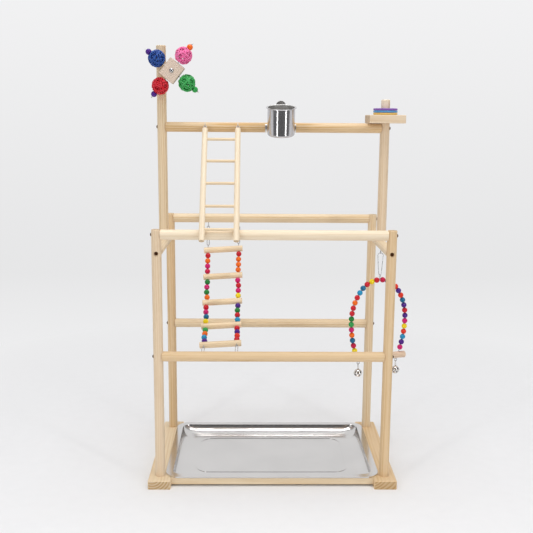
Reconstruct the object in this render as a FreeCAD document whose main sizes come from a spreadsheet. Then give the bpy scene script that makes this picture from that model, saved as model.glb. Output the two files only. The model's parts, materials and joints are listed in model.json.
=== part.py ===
import FreeCAD, Part
import math
import os
import re

import Sketcher

V = FreeCAD.Vector
Rotation = FreeCAD.Rotation
Placement = FreeCAD.Placement

# Play stand for a parrot: +Z up, perches along X, the front towards -Y.
# The origin is on the floor, midway between the four posts.
# Driving sizes, in millimetres and degrees.
SIZES = {
    # two feet that lie front to back, and the rails between them
    "foot_length": 340,
    "foot_width": 48,
    "foot_height": 19,
    "foot_chamfer": 1.5,
    "foot_socket": 6,
    "rail_height": 15,
    "rail_thickness": 12,
    "rail_lift": 4,
    "rail_offset": 148,
    "rail_tenon": 9,
    "rail_tenon_length": 12,
    # posts, perches and side beams: turned dowels that sink into each other
    "post_diameter": 20.5,
    "post_spacing_x": 481,
    "post_spacing_y": 280,
    "post_top": 551.5,
    "perch_diameter": 21,
    "beam_diameter": 21,
    "upper_perch_height": 541,
    "lower_perch_height": 284,
    "beam_height": 503,
    "recess_depth": 2.5,
    "dowel_fit": 0.15,
    "end_chamfer": 0.8,
    # masts on the side beams, with the highest perch between them
    "mast_diameter": 20.5,
    "left_mast_top": 925,
    "top_perch_height": 755.4,
    # screws
    "screw_diameter": 4,
    "screw_head": 7.6,
    "screw_head_height": 2.4,
    "screw_length": 42,
    "screw_fit": 0.1,
    "cross_length": 4.2,
    "cross_width": 1,
    "cross_depth": 1.3,
    "counterbore": 9.4,
    "counterbore_depth": 4,
    # toy platform on the right mast, its peg and three rings
    "platform_size": 77,
    "platform_thickness": 17.5,
    "platform_gap": 0.3,
    "platform_screw": 18,
    "platform_chamfer": 1,
    "peg_diameter": 19,
    "peg_rise": 32.5,
    "peg_socket": 6,
    "ring_diameter": 52,
    "ring_bore": 22,
    "ring_thickness": 4.4,
    "ring_gap": 0.3,
    # spinner on the left mast
    "spinner_height": 871.2,
    "spinner_offset": 25.7,
    "spinner_reach": 32,
    "spinner_turn": 51.5,
    "hub_length": 41,
    "hub_width": 37,
    "hub_thickness": 18,
    "axle_diameter": 5,
    "axle_fit": 0.25,
    "axle_end_gap": 0.5,
    "axle_bend": 6,
    "axle_embed": 16,
    "axle_head": 9,
    "axle_head_edge": 1.2,
    "axle_head_height": 3.4,
    "nut_width": 8,
    "nut_thickness": 4,
    "arm_wire": 1.8,
    "arm_embed": 10,
    "arm_tip": 72.5,
    "arm_hook": 4,
    "arm_hook_angle": 75,
    "ball_centre": 39.7,
    "ball_diameter": 36.3,
    "ball_strip": 6.2,
    "ball_wall": 1.8,
    "end_bead_centre": 61.1,
    "bead_diameter": 12.4,
    "bead_bore": 2.6,
    # steel food cup on its holder
    "cup_shift": 14.3,
    "cup_tilt": 11,
    "cup_diameter": 58,
    "cup_height": 60,
    "cup_wall": 0.8,
    "cup_corner": 5,
    "cup_rim": 64,
    "cup_rim_wire": 2,
    "cup_rise": 52,
    "saddle_width": 66,
    "saddle_half_angle": 47,
    "holder_sheet": 1.3,
    "holder_screw": 11.5,
    "holder_screw_spacing": 36.3,
    "tongue_width": 21.5,
    "tongue_top": 59.5,
    "strap_height": 15,
    "strap_bottom": 8,
    "strap_sheet": 1,
    # tray
    "tray_side_gap": 0.75,
    "tray_width": 312,
    "tray_rim": 13.5,
    "tray_slope": 25,
    "tray_depth": 18,
    "tray_sheet": 1,
    "tray_corner": 30,
    "tray_mouth_corner": 20,
    "tray_floor_corner": 30,
    "tray_lip": 3,
    "tray_bead_inset": 22,
    "tray_bead_width": 3,
    "tray_bead_height": 0.6,
    # rigid ladder that hangs from the top perch and leans on the upper one
    "ladder_shift": -112,
    "ladder_spacing": 70,
    "ladder_rail": 12,
    "ladder_length": 264,
    "ladder_rung": 6,
    "ladder_rung_pitch": 53,
    "ladder_rung_count": 5,
    "ladder_rung_depth": 8,
    "ladder_hook_rise": 3,
    "contact_gap": 0.3,
    # wire hooks, eyes and links
    "hook_wire": 1.6,
    "eye_shank": 1.5,
    "hook_radius": 3.5,
    "hook_stem": 2,
    "hook_lead": 45,
    "ring_bite": 0.5,
    "eye_radius": 3,
    "eye_stem": 1,
    "thread_length": 9,
    "wire_gap": 0.1,
    # bead ladder that hangs as a bridge from the rear to the front
    "bead_ladder_shift": -114,
    "string_spacing": 72,
    "rope_rung": 14,
    "rope_rung_length": 91,
    "rope_rung_tilt": 3.5,
    "rope_eye_thread": 5,
    "section_length": 66,
    "section_beads": 4,
    "string_wire": 1.8,
    "upper_link_length": 45,
    "link_angle": 24,
    "section_angle_1": 29,
    "section_angle_2": 37,
    "section_angle_3": 49,
    "section_angle_4": 67,
    "link_width": 5.2,
    # swing: clip, arch of beads, perch and two bells
    "swing_turn": 16,
    "swing_eye_stem": 5,
    "clip_length": 50,
    "clip_top_radius": 6,
    "clip_bottom_radius": 3,
    "swing_stem": 6.7,
    "swing_wire": 1.4,
    "swing_ring_wire": 1.5,
    "arch_height": 178,
    "arch_half_width": 66,
    "arch_shoulder": 91.5,
    "arch_crown_radius": 54,
    "arch_foot": 53,
    "arch_bead_gap": 0.9,
    "arch_bead_pitch": 12.5,
    "arch_beads": 16,
    "swing_perch": 15,
    "swing_perch_length": 137,
    "bell_diameter": 19,
    "bell_wall": 0.7,
    "bell_slit": 1.5,
    "bell_slit_hole": 3.2,
    "bell_slit_top": 2.6,
    "bell_link_length": 12,
    "bell_link_radius": 2.2,
    "bell_seam": 1,
    "pellet_diameter": 6,
}

doc = FreeCAD.newDocument("parrot_stand")
sheet = doc.addObject("Spreadsheet::Sheet", "sizes")
for row, (name, value) in enumerate(SIZES.items(), 1):
    sheet.set(f"A{row}", name)
    sheet.set(f"B{row}", str(value))
    sheet.setAlias(f"B{row}", name)
doc.recompute()

NODES = []


class Dims:
    """Reads a size from the sheet, as d.foot_length."""

    def __getattr__(self, name):
        return float(sheet.get(name))


d = Dims()


# ---------------------------------------------------------------- building blocks

def bind(thing, links):
    """Ties properties to formulas in the sheet's names; X, Y and Z are the placement's base."""
    for name, text in links.items():
        path = f"Placement.Base.{name.lower()}" if name in ("X", "Y", "Z") else name
        text = re.sub(r"[a-z]\w+", lambda w: f"sizes.{w[0]}" if w[0] in SIZES else w[0], text)
        thing.setExpression(path, text)


def node(label, thing):
    """Names a finished sub-part, which is then one of the stand's nodes."""
    thing.Label = label
    NODES.append(thing)
    return thing


def body_for(label, rotation=None, **at):
    body = doc.addObject("PartDesign::Body", f"body_{label}")
    if rotation:
        body.Placement = Placement(V(), rotation)
    bind(body, at)
    return node(label, body)


def sketch_on(body, role, offset="0", turn=0):
    """A sketch on one of the body's own planes, moved along the normal and turned about its Y."""
    sketch = body.newObject("Sketcher::SketchObject", "outline")
    plane = next(f for f in body.Origin.OriginFeatures if f.Role == role)
    sketch.AttachmentSupport = [(plane, "")]
    sketch.MapMode = "FlatFace"
    sketch.AttachmentOffset = Placement(V(), Rotation(V(0, 1, 0), turn))
    bind(sketch, {"AttachmentOffset.Base.z": offset})
    return sketch


def fix(sketch, kind, where, text):
    """A dimension of the sketch that follows a formula; a leading minus measures the other way."""
    if text.startswith("-"):
        where = (where[2], where[3], where[0], where[1])
        text = text[1:]
    index = sketch.addConstraint(Sketcher.Constraint(kind, *where, 1.0))
    bind(sketch, {f"Constraints[{index}]": text})


def circle(sketch, diameter, across="0", along="0"):
    """A circle whose centre and diameter are formulas."""
    index = sketch.addGeometry(Part.Circle(V(5 if across[0] != "-" else -5, 5, 0), V(0, 0, 1), 2))
    if across == "0" and along == "0":
        sketch.addConstraint(Sketcher.Constraint("Coincident", index, 3, -1, 1))
    else:
        for text, kind, axis in ((across, "DistanceX", -2), (along, "DistanceY", -1)):
            if text == "0":
                sketch.addConstraint(Sketcher.Constraint("PointOnObject", index, 3, axis))
            else:
                fix(sketch, kind, (-1, 1, index, 3), text)
    fix(sketch, "Diameter", (index,), diameter)


def rectangle(sketch, width, depth):
    """A rectangle about the sketch's origin."""
    corners = [V(-5, -4, 0), V(5, -4, 0), V(5, 4, 0), V(-5, 4, 0)]
    first = sketch.GeometryCount
    for start, end in zip(corners, corners[1:] + corners[:1]):
        sketch.addGeometry(Part.LineSegment(start, end))
    for side in range(4):
        following = first + (side + 1) % 4
        sketch.addConstraint(Sketcher.Constraint("Coincident", first + side, 2, following, 1))
        kind = "Vertical" if side % 2 else "Horizontal"
        sketch.addConstraint(Sketcher.Constraint(kind, first + side))
    sketch.addConstraint(Sketcher.Constraint("Symmetric", first, 1, first + 1, 2, -1, 1))
    fix(sketch, "DistanceX", (first, 1, first, 2), width)
    fix(sketch, "DistanceY", (first + 1, 1, first + 1, 2), depth)


def rounded_rectangle(sketch, width, depth, radius):
    """A rectangle about the sketch's origin with equal round corners.

    It is drawn at a rough size first, and the dimensions then set the true one.
    """
    half = (100, 70)
    turn = 10
    straight = []
    corner = []
    signs = [(1, 1), (-1, 1), (-1, -1), (1, -1)]
    for number, (sx, sy) in enumerate(signs):
        centre = V(sx * (half[0] - turn), sy * (half[1] - turn), 0)
        ring = Part.Circle(centre, V(0, 0, 1), turn)
        start = number * math.pi / 2
        corner.append(sketch.addGeometry(Part.ArcOfCircle(ring, start, start + math.pi / 2)))
    for number, (sx, sy) in enumerate(signs):
        begin = sketch.getPoint(corner[number], 2)
        end = sketch.getPoint(corner[(number + 1) % 4], 1)
        straight.append(sketch.addGeometry(Part.LineSegment(begin, end)))
    for number in range(4):
        following = corner[(number + 1) % 4]
        sketch.addConstraint(Sketcher.Constraint("Tangent", corner[number], 2, straight[number], 1))
        sketch.addConstraint(Sketcher.Constraint("Tangent", straight[number], 2, following, 1))
        kind = "Vertical" if number % 2 else "Horizontal"
        sketch.addConstraint(Sketcher.Constraint(kind, straight[number]))
    for number in range(1, 4):
        sketch.addConstraint(Sketcher.Constraint("Equal", corner[0], corner[number]))
    sketch.addConstraint(Sketcher.Constraint("Symmetric", corner[0], 3, corner[2], 3, -1, 1))
    fix(sketch, "Radius", (corner[0],), radius)
    fix(sketch, "DistanceX", (straight[1], 1, straight[3], 1), width)
    fix(sketch, "DistanceY", (straight[2], 1, straight[0], 1), depth)


def pad(body, sketch, length, both_ways=False):
    feature = body.newObject("PartDesign::Pad", "pad")
    feature.Profile = sketch
    if both_ways:
        feature.SideType = "Symmetric"
    bind(feature, {"Length": length})
    doc.recompute()
    return feature


def ease(body, feature, size, kind="PartDesign::Chamfer", test=None):
    """Takes the sharpness off the edges that pass the test."""
    names = [f"Edge{i}" for i, edge in enumerate(feature.Shape.Edges, 1) if test is None or test(edge)]
    eased = body.newObject(kind, "eased")
    eased.Base = (feature, names)
    bind(eased, {"Size" if kind.endswith("Chamfer") else "Radius": size})
    doc.recompute()
    return eased


def is_round(edge):
    return isinstance(edge.Curve, Part.Circle)


def bore(body, role, diameter, depth=None, across="0", along="0", offset="0", turn=0):
    """A round hole square to a plane: blind from the offset, or right through without a depth."""
    sketch = sketch_on(body, role, offset, turn)
    circle(sketch, diameter, across, along)
    pocket = body.newObject("PartDesign::Pocket", "bore")
    pocket.Profile = sketch
    pocket.SideType = "Symmetric"
    if depth:
        bind(pocket, {"Length": f"2 * ({depth})"})
    else:
        pocket.Type = "ThroughAll"
    return pocket


def open_bore(body, role, diameter, across="0", along="0", turn=0):
    """A round hole that starts inside at a plane and comes out on the side of its normal."""
    sketch = sketch_on(body, role, turn=turn)
    circle(sketch, diameter, across, along)
    pocket = body.newObject("PartDesign::Pocket", "bore")
    pocket.Profile = sketch
    pocket.Reversed = True
    pocket.Type = "ThroughAll"


def dowel(label, diameter, length, rotation=None, chamfer="end_chamfer", **at):
    """A turned rod with eased ends; its own Z runs along it from one end."""
    body = body_for(label, rotation, **at)
    sketch = sketch_on(body, "XY_Plane")
    circle(sketch, diameter)
    ease(body, pad(body, sketch, length), chamfer, test=is_round)
    return body


def formed(label, shapes, placement=None):
    """A sub-part whose shape is made directly; its pieces stay separate solids."""
    thing = doc.addObject("Part::Feature", f"shape_{label}")
    shapes = list(shapes)
    thing.Shape = shapes[0] if len(shapes) == 1 else Part.makeCompound(shapes)
    if placement:
        thing.Placement = placement
    return node(label, thing)


def moved(shape, placement):
    """A copy of a shape carried to a place."""
    copy = shape.copy()
    copy.Placement = placement.multiply(copy.Placement)
    return copy


def pointing(direction, across=None):
    """The turn that takes Z to a direction and, where given, X towards another."""
    direction = V(direction).normalize()
    if across is None:
        return Rotation(V(0, 0, 1), direction)
    return Rotation(V(across), V(), direction, "ZXY")


ALONG_X = Rotation(V(0, 1, 0), 90)
ALONG_Y = Rotation(V(1, 0, 0), -90)


class Bend:
    """A rod bent in one plane from straight runs and arcs that join without a corner."""

    def __init__(self, start, heading, inward):
        self.point = V(start)
        self.heading = V(heading).normalize()
        self.normal = self.heading.cross(V(inward)).normalize()
        self.runs = []

    def line(self, length):
        self.runs.append((self.point, self.heading, None, length, 0))
        self.point = self.point + self.heading * length
        return self

    def arc(self, radius, degrees):
        """Turns towards the inward side, or away from it where the angle is negative."""
        side = 1 if degrees > 0 else -1
        centre = self.point + self.normal.cross(self.heading) * radius * side
        length = radius * math.radians(abs(degrees))
        self.runs.append((self.point, self.heading, centre, length, degrees))
        turn = Rotation(self.normal, degrees)
        self.point = centre + turn.multVec(self.point - centre)
        self.heading = turn.multVec(self.heading)
        return self

    def length(self):
        return sum(run[3] for run in self.runs)

    def at(self, distance):
        """The point and the heading that far along the rod."""
        for point, heading, centre, length, degrees in self.runs:
            if distance <= length + 1e-9:
                break
            distance -= length
        if centre is None:
            return point + heading * distance, heading
        turn = Rotation(self.normal, degrees * distance / length)
        return centre + turn.multVec(point - centre), turn.multVec(heading)

    def solid(self, diameter):
        """The rod itself, one turned or straight piece for each run, joined end to end."""
        pieces = []
        for point, heading, centre, length, degrees in self.runs:
            face = Part.Face(Part.Wire(Part.makeCircle(diameter / 2, point, heading)))
            if centre is None:
                pieces.append(face.extrude(heading * length))
            else:
                axis = self.normal if degrees > 0 else self.normal * -1
                pieces.append(face.revolve(centre, axis, abs(degrees)))
        joined = pieces[0]
        if len(pieces) > 1:
            joined = pieces[0].fuse(pieces[1:]).removeSplitter()
        return joined.Solids[0]


def with_ring(rod, centre, normal, radius, wire):
    """A rod with a closed ring of wire on its end, turned until the ring's seam is clear of it."""
    for turn in range(31, 360, 37):
        placing = Placement(centre, pointing(normal).multiply(Rotation(V(0, 0, 1), turn)))
        ring = moved(Part.makeTorus(radius, wire / 2), placing)
        joined = rod.fuse(ring)
        whole = len(joined.Solids) == 1 and joined.isValid()
        if whole and joined.Volume > rod.Volume + 0.8 * ring.Volume:
            return joined.Solids[0]
    raise RuntimeError("a ring does not reach its stem")


def link_between(top, bottom, across, top_radius, bottom_radius, wire):
    """A closed wire link; top and bottom are the wire's middle at its two ends."""
    along = bottom - top
    span = along.Length - top_radius - bottom_radius
    lean = math.degrees(math.asin((top_radius - bottom_radius) / span))
    straight = span * math.cos(math.radians(lean))
    rod = Bend(top, across, along)
    rod.arc(top_radius, 90 + lean).line(straight).arc(bottom_radius, 180 - 2 * lean)
    rod.line(straight).arc(top_radius, 90 + lean)
    return rod.solid(wire)


def screw_eye(base, outward, across):
    """A wire eye on a threaded stem: base is where the stem leaves the wood.

    The ring lies in the plane of outward and across.
    """
    outward = V(outward).normalize()
    ring = base + outward * (d.eye_stem + d.eye_radius)
    stem = Part.makeCylinder(d.eye_shank / 2, d.thread_length + d.eye_stem + d.ring_bite,
                             base - outward * d.thread_length, outward)
    normal = outward.cross(V(across)).normalize()
    return with_ring(stem, ring, normal, d.eye_radius, d.hook_wire)


def cup_hook(base, outward, opening):
    """A J-shaped wire hook on a threaded stem, whose mouth is on the opening side."""
    rod = Bend(base - V(outward).normalize() * d.thread_length, outward, opening)
    rod.line(d.thread_length + d.hook_stem)
    rod.arc(d.hook_radius, -d.hook_lead).arc(d.hook_radius, 180 + d.hook_lead)
    return rod.solid(d.hook_wire)


def bead(diameter, hole):
    """A round wooden bead with its bore along Z."""
    ball = Part.makeSphere(diameter / 2)
    drill = Part.makeCylinder(hole / 2, diameter + 2, V(0, 0, -diameter / 2 - 1))
    return ball.cut(drill).Solids[0]


def round_head_screw(length):
    """A wood screw that points to -Z, with its head's underside at the origin."""
    half = d.screw_head / 2
    crown = d.screw_head_height
    radius = (half * half + crown * crown) / (2 * crown)
    dome = Part.makeSphere(radius, V(0, 0, crown - radius))
    dome = dome.common(Part.makeCylinder(half, crown + 1))
    shank = Part.makeCylinder(d.screw_diameter / 2, length - d.screw_diameter,
                              V(0, 0, d.screw_diameter - length))
    tip = Part.makeCone(0.2, d.screw_diameter / 2, d.screw_diameter, V(0, 0, -length))
    screw = dome.fuse([shank, tip])
    return slotted(screw, crown).Solids[0]


def slotted(screw, top):
    """Cuts the cross recess for the driver."""
    for size in ((d.cross_length, d.cross_width), (d.cross_width, d.cross_length)):
        corner = V(-size[0] / 2, -size[1] / 2, top - d.cross_depth)
        screw = screw.cut(Part.makeBox(size[0], size[1], 2 * d.cross_depth, corner))
    return screw


def flat_head_screw(length):
    """A countersunk wood screw that points to -Z, with its head's top at the origin."""
    half = d.screw_head / 2
    sink = half - d.screw_diameter / 2
    head = Part.makeCone(d.screw_diameter / 2, half, sink, V(0, 0, -sink))
    shank = Part.makeCylinder(d.screw_diameter / 2, length - d.screw_diameter - sink,
                              V(0, 0, d.screw_diameter - length))
    tip = Part.makeCone(0.2, d.screw_diameter / 2, d.screw_diameter, V(0, 0, -length))
    return slotted(head.fuse([shank, tip]), 0).Solids[0]


# ---------------------------------------------------------------- feet and base rails

def make_foot(side, sign):
    """A flat bar that carries two posts; its own Y runs from front to back."""
    body = body_for(f"foot_{side}", X=f"{sign} post_spacing_x / 2")
    sketch = sketch_on(body, "XY_Plane")
    rectangle(sketch, "foot_width", "foot_length")
    block = pad(body, sketch, "foot_height")

    def outer_edge(edge):
        middle = edge.BoundBox.Center
        return middle.z > d.foot_height / 4
    ease(body, block, "foot_chamfer", test=outer_edge)
    socket = "post_diameter + 2 * dowel_fit"
    for end in ("-", ""):
        place = f"{end}post_spacing_y / 2"
        bore(body, "XY_Plane", socket, "foot_socket", along=place, offset="foot_height")
        bore(body, "XY_Plane", "screw_diameter + 2 * screw_fit", along=place)
        sketch = sketch_on(body, "XY_Plane")
        circle(sketch, "screw_head + 2 * screw_fit", along=place)
        doc.recompute()
        sink = body.newObject("PartDesign::Pocket", "countersink")
        sink.Profile = sketch
        sink.Reversed = True
        sink.TaperAngle = -45
        bind(sink, {"Length": "(screw_head - screw_diameter) / 2"})
        bore(body, "YZ_Plane", "rail_tenon + 2 * dowel_fit", "rail_tenon_length + dowel_fit",
             across=f"{end}rail_offset", along="rail_lift + rail_height / 2",
             offset=f"0 - ({sign} foot_width / 2)")


make_foot("left", "-1 *")
make_foot("right", "1 *")


def make_base_rail(end, sign):
    """A thin rail between the feet with a round tenon at each end; its own Z runs along X."""
    tenons = "rail_tenon_length"
    clear = "post_spacing_x - foot_width"
    body = body_for(f"base_rail_{end}", ALONG_X, X=f"-({clear}) / 2", Y=f"{sign} rail_offset",
                    Z="rail_lift + rail_height / 2")
    sketch = sketch_on(body, "XY_Plane")
    rectangle(sketch, "rail_height", "rail_thickness")
    block = pad(body, sketch, clear)
    ease(body, block, "end_chamfer", test=lambda edge: edge.BoundBox.ZLength > 1)
    for start, way in (("0", True), (clear, False)):
        sketch = sketch_on(body, "XY_Plane", start)
        circle(sketch, "rail_tenon")
        pin = body.newObject("PartDesign::Pad", "tenon")
        pin.Profile = sketch
        pin.Reversed = way
        bind(pin, {"Length": tenons})


make_base_rail("front", "-1 *")
make_base_rail("rear", "1 *")


# ---------------------------------------------------------------- posts, perches and masts

def recess_for(body, role, offset, height, diameter):
    """The shallow seat that the end of a perch or beam sinks into."""
    bore(body, role, f"{diameter} + 2 * dowel_fit", "recess_depth", along=height, offset=offset)


def make_post(end, side):
    """A post from its socket in the foot; perches and a side beam end in its seats."""
    left = "-1 *" if side == "left" else "1 *"
    front = "-1 *" if end == "front" else "1 *"
    bottom = "(foot_height - foot_socket)"
    body = dowel(f"post_{end}_{side}", "post_diameter", f"post_top - {bottom}",
                 X=f"{left} post_spacing_x / 2", Y=f"{front} post_spacing_y / 2",
                 Z="foot_height - foot_socket")
    hole = "screw_diameter + 2 * screw_fit"
    inner = f"0 - {left} post_diameter / 2"
    for level in ("upper_perch_height", "lower_perch_height"):
        height = f"{level} - {bottom}"
        recess_for(body, "YZ_Plane", inner, height, "perch_diameter")
        bore(body, "YZ_Plane", hole, along=height)
    height = f"beam_height - {bottom}"
    recess_for(body, "XZ_Plane", f"{front} post_diameter / 2", height, "beam_diameter")
    bore(body, "XZ_Plane", hole, along=height)
    bore(body, "XZ_Plane", "counterbore", "counterbore_depth", along=height,
         offset=f"0 - {front} post_diameter / 2")
    bore(body, "XY_Plane", hole, "screw_length - foot_height + foot_socket")


for end in ("front", "rear"):
    for side in ("left", "right"):
        make_post(end, side)

CLEAR_X = "(post_spacing_x - post_diameter + 2 * recess_depth)"
PILOT = "screw_diameter + 2 * screw_fit"
PERCH_PILOT_DEPTH = "screw_length - post_diameter + recess_depth + 2"


def make_perch(label, height, y, span, pilot_depth):
    """A perch across the stand with a pilot hole for a screw in each end."""
    body = dowel(label, "perch_diameter", span, ALONG_X, chamfer="end_chamfer",
                 X=f"-{span} / 2", Y=y, Z=height)
    bore(body, "XY_Plane", PILOT, pilot_depth)
    bore(body, "XY_Plane", PILOT, pilot_depth, offset=span)
    return body


front_y = "-post_spacing_y / 2"
rear_y = "post_spacing_y / 2"
make_perch("perch_front_upper", "upper_perch_height", front_y, CLEAR_X, PERCH_PILOT_DEPTH)
front_lower = make_perch("perch_front_lower", "lower_perch_height", front_y, CLEAR_X,
                         PERCH_PILOT_DEPTH)
rear_upper = make_perch("perch_rear_upper", "upper_perch_height", rear_y, CLEAR_X,
                        PERCH_PILOT_DEPTH)
make_perch("perch_rear_lower", "lower_perch_height", rear_y, CLEAR_X, PERCH_PILOT_DEPTH)
MAST_CLEAR = "(post_spacing_x - mast_diameter + 2 * recess_depth)"
top_perch = make_perch("perch_top", "top_perch_height", "0 * post_spacing_y", MAST_CLEAR,
                       "screw_length - mast_diameter + recess_depth + 2")

# Hooks for the bead ladder screw into the rear upper and the front lower perch.
THREAD = "hook_wire + 2 * wire_gap"
for way in ("+", "-"):
    place = f"{CLEAR_X} / 2 + bead_ladder_shift {way} string_spacing / 2"
    bore(rear_upper, "YZ_Plane", THREAD, "thread_length + 1", along=place,
         offset="perch_diameter / 2")
    bore(front_lower, "XZ_Plane", THREAD, "thread_length + 1", along=place,
         offset="-perch_diameter / 2")
    place = f"{MAST_CLEAR} / 2 + ladder_shift {way} ladder_spacing / 2"
    bore(top_perch, "XZ_Plane", THREAD, "thread_length + 2", across="-ladder_hook_rise",
         along=place, offset="perch_diameter / 2")
    place = f"{MAST_CLEAR} / 2 + cup_shift {way} holder_screw_spacing / 2"
    open_bore(top_perch, "XZ_Plane", PILOT, along=place, turn=d.cup_tilt)


def make_side_beam(side, sign):
    """A beam from the front post to the rear one, which carries a mast at its middle."""
    span = "(post_spacing_y - post_diameter + 2 * recess_depth)"
    body = dowel(f"side_beam_{side}", "beam_diameter", span, ALONG_Y,
                 X=f"{sign} post_spacing_x / 2", Y=f"-{span} / 2", Z="beam_height")
    depth = "screw_length - post_diameter + counterbore_depth + recess_depth + 2"
    bore(body, "XY_Plane", PILOT, depth)
    bore(body, "XY_Plane", PILOT, depth, offset=span)
    bore(body, "XZ_Plane", "mast_diameter + 2 * dowel_fit", "recess_depth", along=f"{span} / 2",
         offset="beam_diameter / 2")
    return body, span


side_beams = {side: make_side_beam(side, sign) for side, sign in (("left", "-1 *"), ("right", "1 *"))}


def make_mast(side, sign, top):
    """A mast that stands in a seat on the side beam; the top perch ends in its own seat."""
    bottom = "(beam_height + beam_diameter / 2 - recess_depth)"
    body = dowel(f"mast_{side}", "mast_diameter", f"{top} - {bottom}",
                 X=f"{sign} post_spacing_x / 2", Z=bottom)
    height = f"top_perch_height - {bottom}"
    recess_for(body, "YZ_Plane", f"0 - {sign} mast_diameter / 2", height, "perch_diameter")
    bore(body, "YZ_Plane", PILOT, along=height)
    bore(body, "XY_Plane", PILOT, "screw_length - beam_diameter + recess_depth + 2")
    return body, bottom


mast_left, mast_bottom = make_mast("left", "-1 *", "left_mast_top")
PLATFORM_BOTTOM = "(top_perch_height + perch_diameter / 2 + platform_gap)"
mast_right, mast_bottom = make_mast("right", "1 *", PLATFORM_BOTTOM)
bore(mast_left, "YZ_Plane", "axle_diameter + 2 * screw_fit", "axle_embed + screw_fit",
     along=f"spinner_height - {mast_bottom}", offset="mast_diameter / 2")
bore(mast_right, "XY_Plane", PILOT, "platform_screw - platform_thickness + peg_socket + 1",
     offset=f"{PLATFORM_BOTTOM} - {mast_bottom}")
left_beam, beam_span = side_beams["left"]
right_beam, beam_span = side_beams["right"]
bore(left_beam, "XZ_Plane", PILOT, along=f"{beam_span} / 2")
bore(right_beam, "XZ_Plane", PILOT, "recess_depth + 4", along=f"{beam_span} / 2",
     offset="beam_diameter / 2")
bore(right_beam, "XZ_Plane", THREAD, "thread_length + 1", along=f"{beam_span} / 2",
     offset="-beam_diameter / 2")


def make_frame_screws():
    """Round-head screws through posts and masts, and flat ones up through the feet."""
    long = round_head_screw(d.screw_length)
    flat = flat_head_screw(d.screw_length)
    screws = []
    for x_side in (-1, 1):
        outward = V(x_side, 0, 0)
        outer = x_side * (d.post_spacing_x / 2 + d.post_diameter / 2)
        for y_side in (-1, 1):
            y = y_side * d.post_spacing_y / 2
            for height in (d.upper_perch_height, d.lower_perch_height):
                screws.append((long, V(outer, y, height), outward))
            deep = y + y_side * (d.post_diameter / 2 - d.counterbore_depth)
            middle = x_side * d.post_spacing_x / 2
            screws.append((long, V(middle, deep, d.beam_height), V(0, y_side, 0)))
            screws.append((flat, V(middle, y, 0), V(0, 0, -1)))
        outer = x_side * (d.post_spacing_x / 2 + d.mast_diameter / 2)
        screws.append((long, V(outer, 0, d.top_perch_height), outward))
    left = -d.post_spacing_x / 2
    screws.append((long, V(left, 0, d.beam_height - d.beam_diameter / 2), V(0, 0, -1)))
    base = (d.top_perch_height + d.perch_diameter / 2 + d.platform_gap + d.platform_thickness
            - d.peg_socket)
    screws.append((flat_head_screw(d.platform_screw), V(-left, 0, base), V(0, 0, 1)))
    formed("frame_screws", [moved(kind, Placement(place, pointing(way)))
                            for kind, place, way in screws])


make_frame_screws()


# ---------------------------------------------------------------- toy platform, peg and rings

platform = body_for("toy_platform", X="post_spacing_x / 2", Z=PLATFORM_BOTTOM)
outline = sketch_on(platform, "XY_Plane")
rectangle(outline, "platform_size", "platform_size")
slab = pad(platform, outline, "platform_thickness")
ease(platform, slab, "platform_chamfer")
bore(platform, "XY_Plane", "peg_diameter + 2 * dowel_fit", "peg_socket",
     offset="platform_thickness")
bore(platform, "XY_Plane", PILOT)
outline = sketch_on(platform, "XY_Plane", "platform_thickness - peg_socket")
circle(outline, "screw_head + 2 * screw_fit")
sunk = platform.newObject("PartDesign::Pocket", "countersink")
sunk.Profile = outline
sunk.TaperAngle = -45
bind(sunk, {"Length": "(screw_head - screw_diameter) / 2"})

dowel("ring_peg", "peg_diameter", "peg_rise + peg_socket", chamfer="2 * end_chamfer",
      X="post_spacing_x / 2", Z=f"{PLATFORM_BOTTOM} + platform_thickness - peg_socket")


def make_ring(colour, number):
    """A flat wooden ring with rounded edges, one of three stacked on the peg."""
    body = body_for(f"ring_{colour}", X="post_spacing_x / 2",
                    Z=f"{PLATFORM_BOTTOM} + platform_thickness + ring_gap"
                      f" + {number} * (ring_thickness + ring_gap)")
    sketch = sketch_on(body, "XY_Plane")
    circle(sketch, "ring_diameter")
    circle(sketch, "ring_bore")
    disc = pad(body, sketch, "ring_thickness")
    ease(body, disc, "ring_thickness * 0.3", "PartDesign::Fillet", is_round)


for number, colour in enumerate(("yellow", "blue", "purple")):
    make_ring(colour, number)


# ---------------------------------------------------------------- spinner

spin_normal = V(0, -1, 0)
hub_centre = V(d.spinner_offset - d.post_spacing_x / 2, -d.spinner_reach, d.spinner_height)
# In the hub's own frame Z is the axle, towards the front, and X the side of the first arm.
hub_turn = pointing(spin_normal, V(1, 0, 0)).multiply(Rotation(V(0, 0, 1), d.spinner_turn))
hub_place = Placement(hub_centre, hub_turn)

hub = body_for("spinner_hub", hub_turn)
hub.Placement = hub_place
outline = sketch_on(hub, "XY_Plane")
rectangle(outline, "hub_length", "hub_width")
block = pad(hub, outline, "hub_thickness", both_ways=True)
ease(hub, block, "end_chamfer")
bore(hub, "XY_Plane", "axle_diameter + 2 * axle_fit")
for role, size in (("YZ_Plane", "hub_length"), ("XZ_Plane", "hub_width")):
    for sign in ("", "-"):
        bore(hub, role, "arm_wire + 2 * screw_fit", "arm_embed", offset=f"{sign}{size} / 2")


def hex_nut(place):
    """A nut on the axle; the place's Z is the axle and its origin the nut's near face."""
    first = V(d.nut_width / 2 / math.cos(math.pi / 6), 0, 0)
    corners = [Rotation(V(0, 0, 1), 60 * k).multVec(first) for k in range(6)]
    blank = Part.Face(Part.makePolygon(corners + corners[:1])).extrude(V(0, 0, d.nut_thickness))
    hole = Part.makeCylinder(d.axle_diameter / 2 + d.screw_fit / 2, d.nut_thickness)
    return moved(blank.cut(hole).Solids[0], place)


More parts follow.
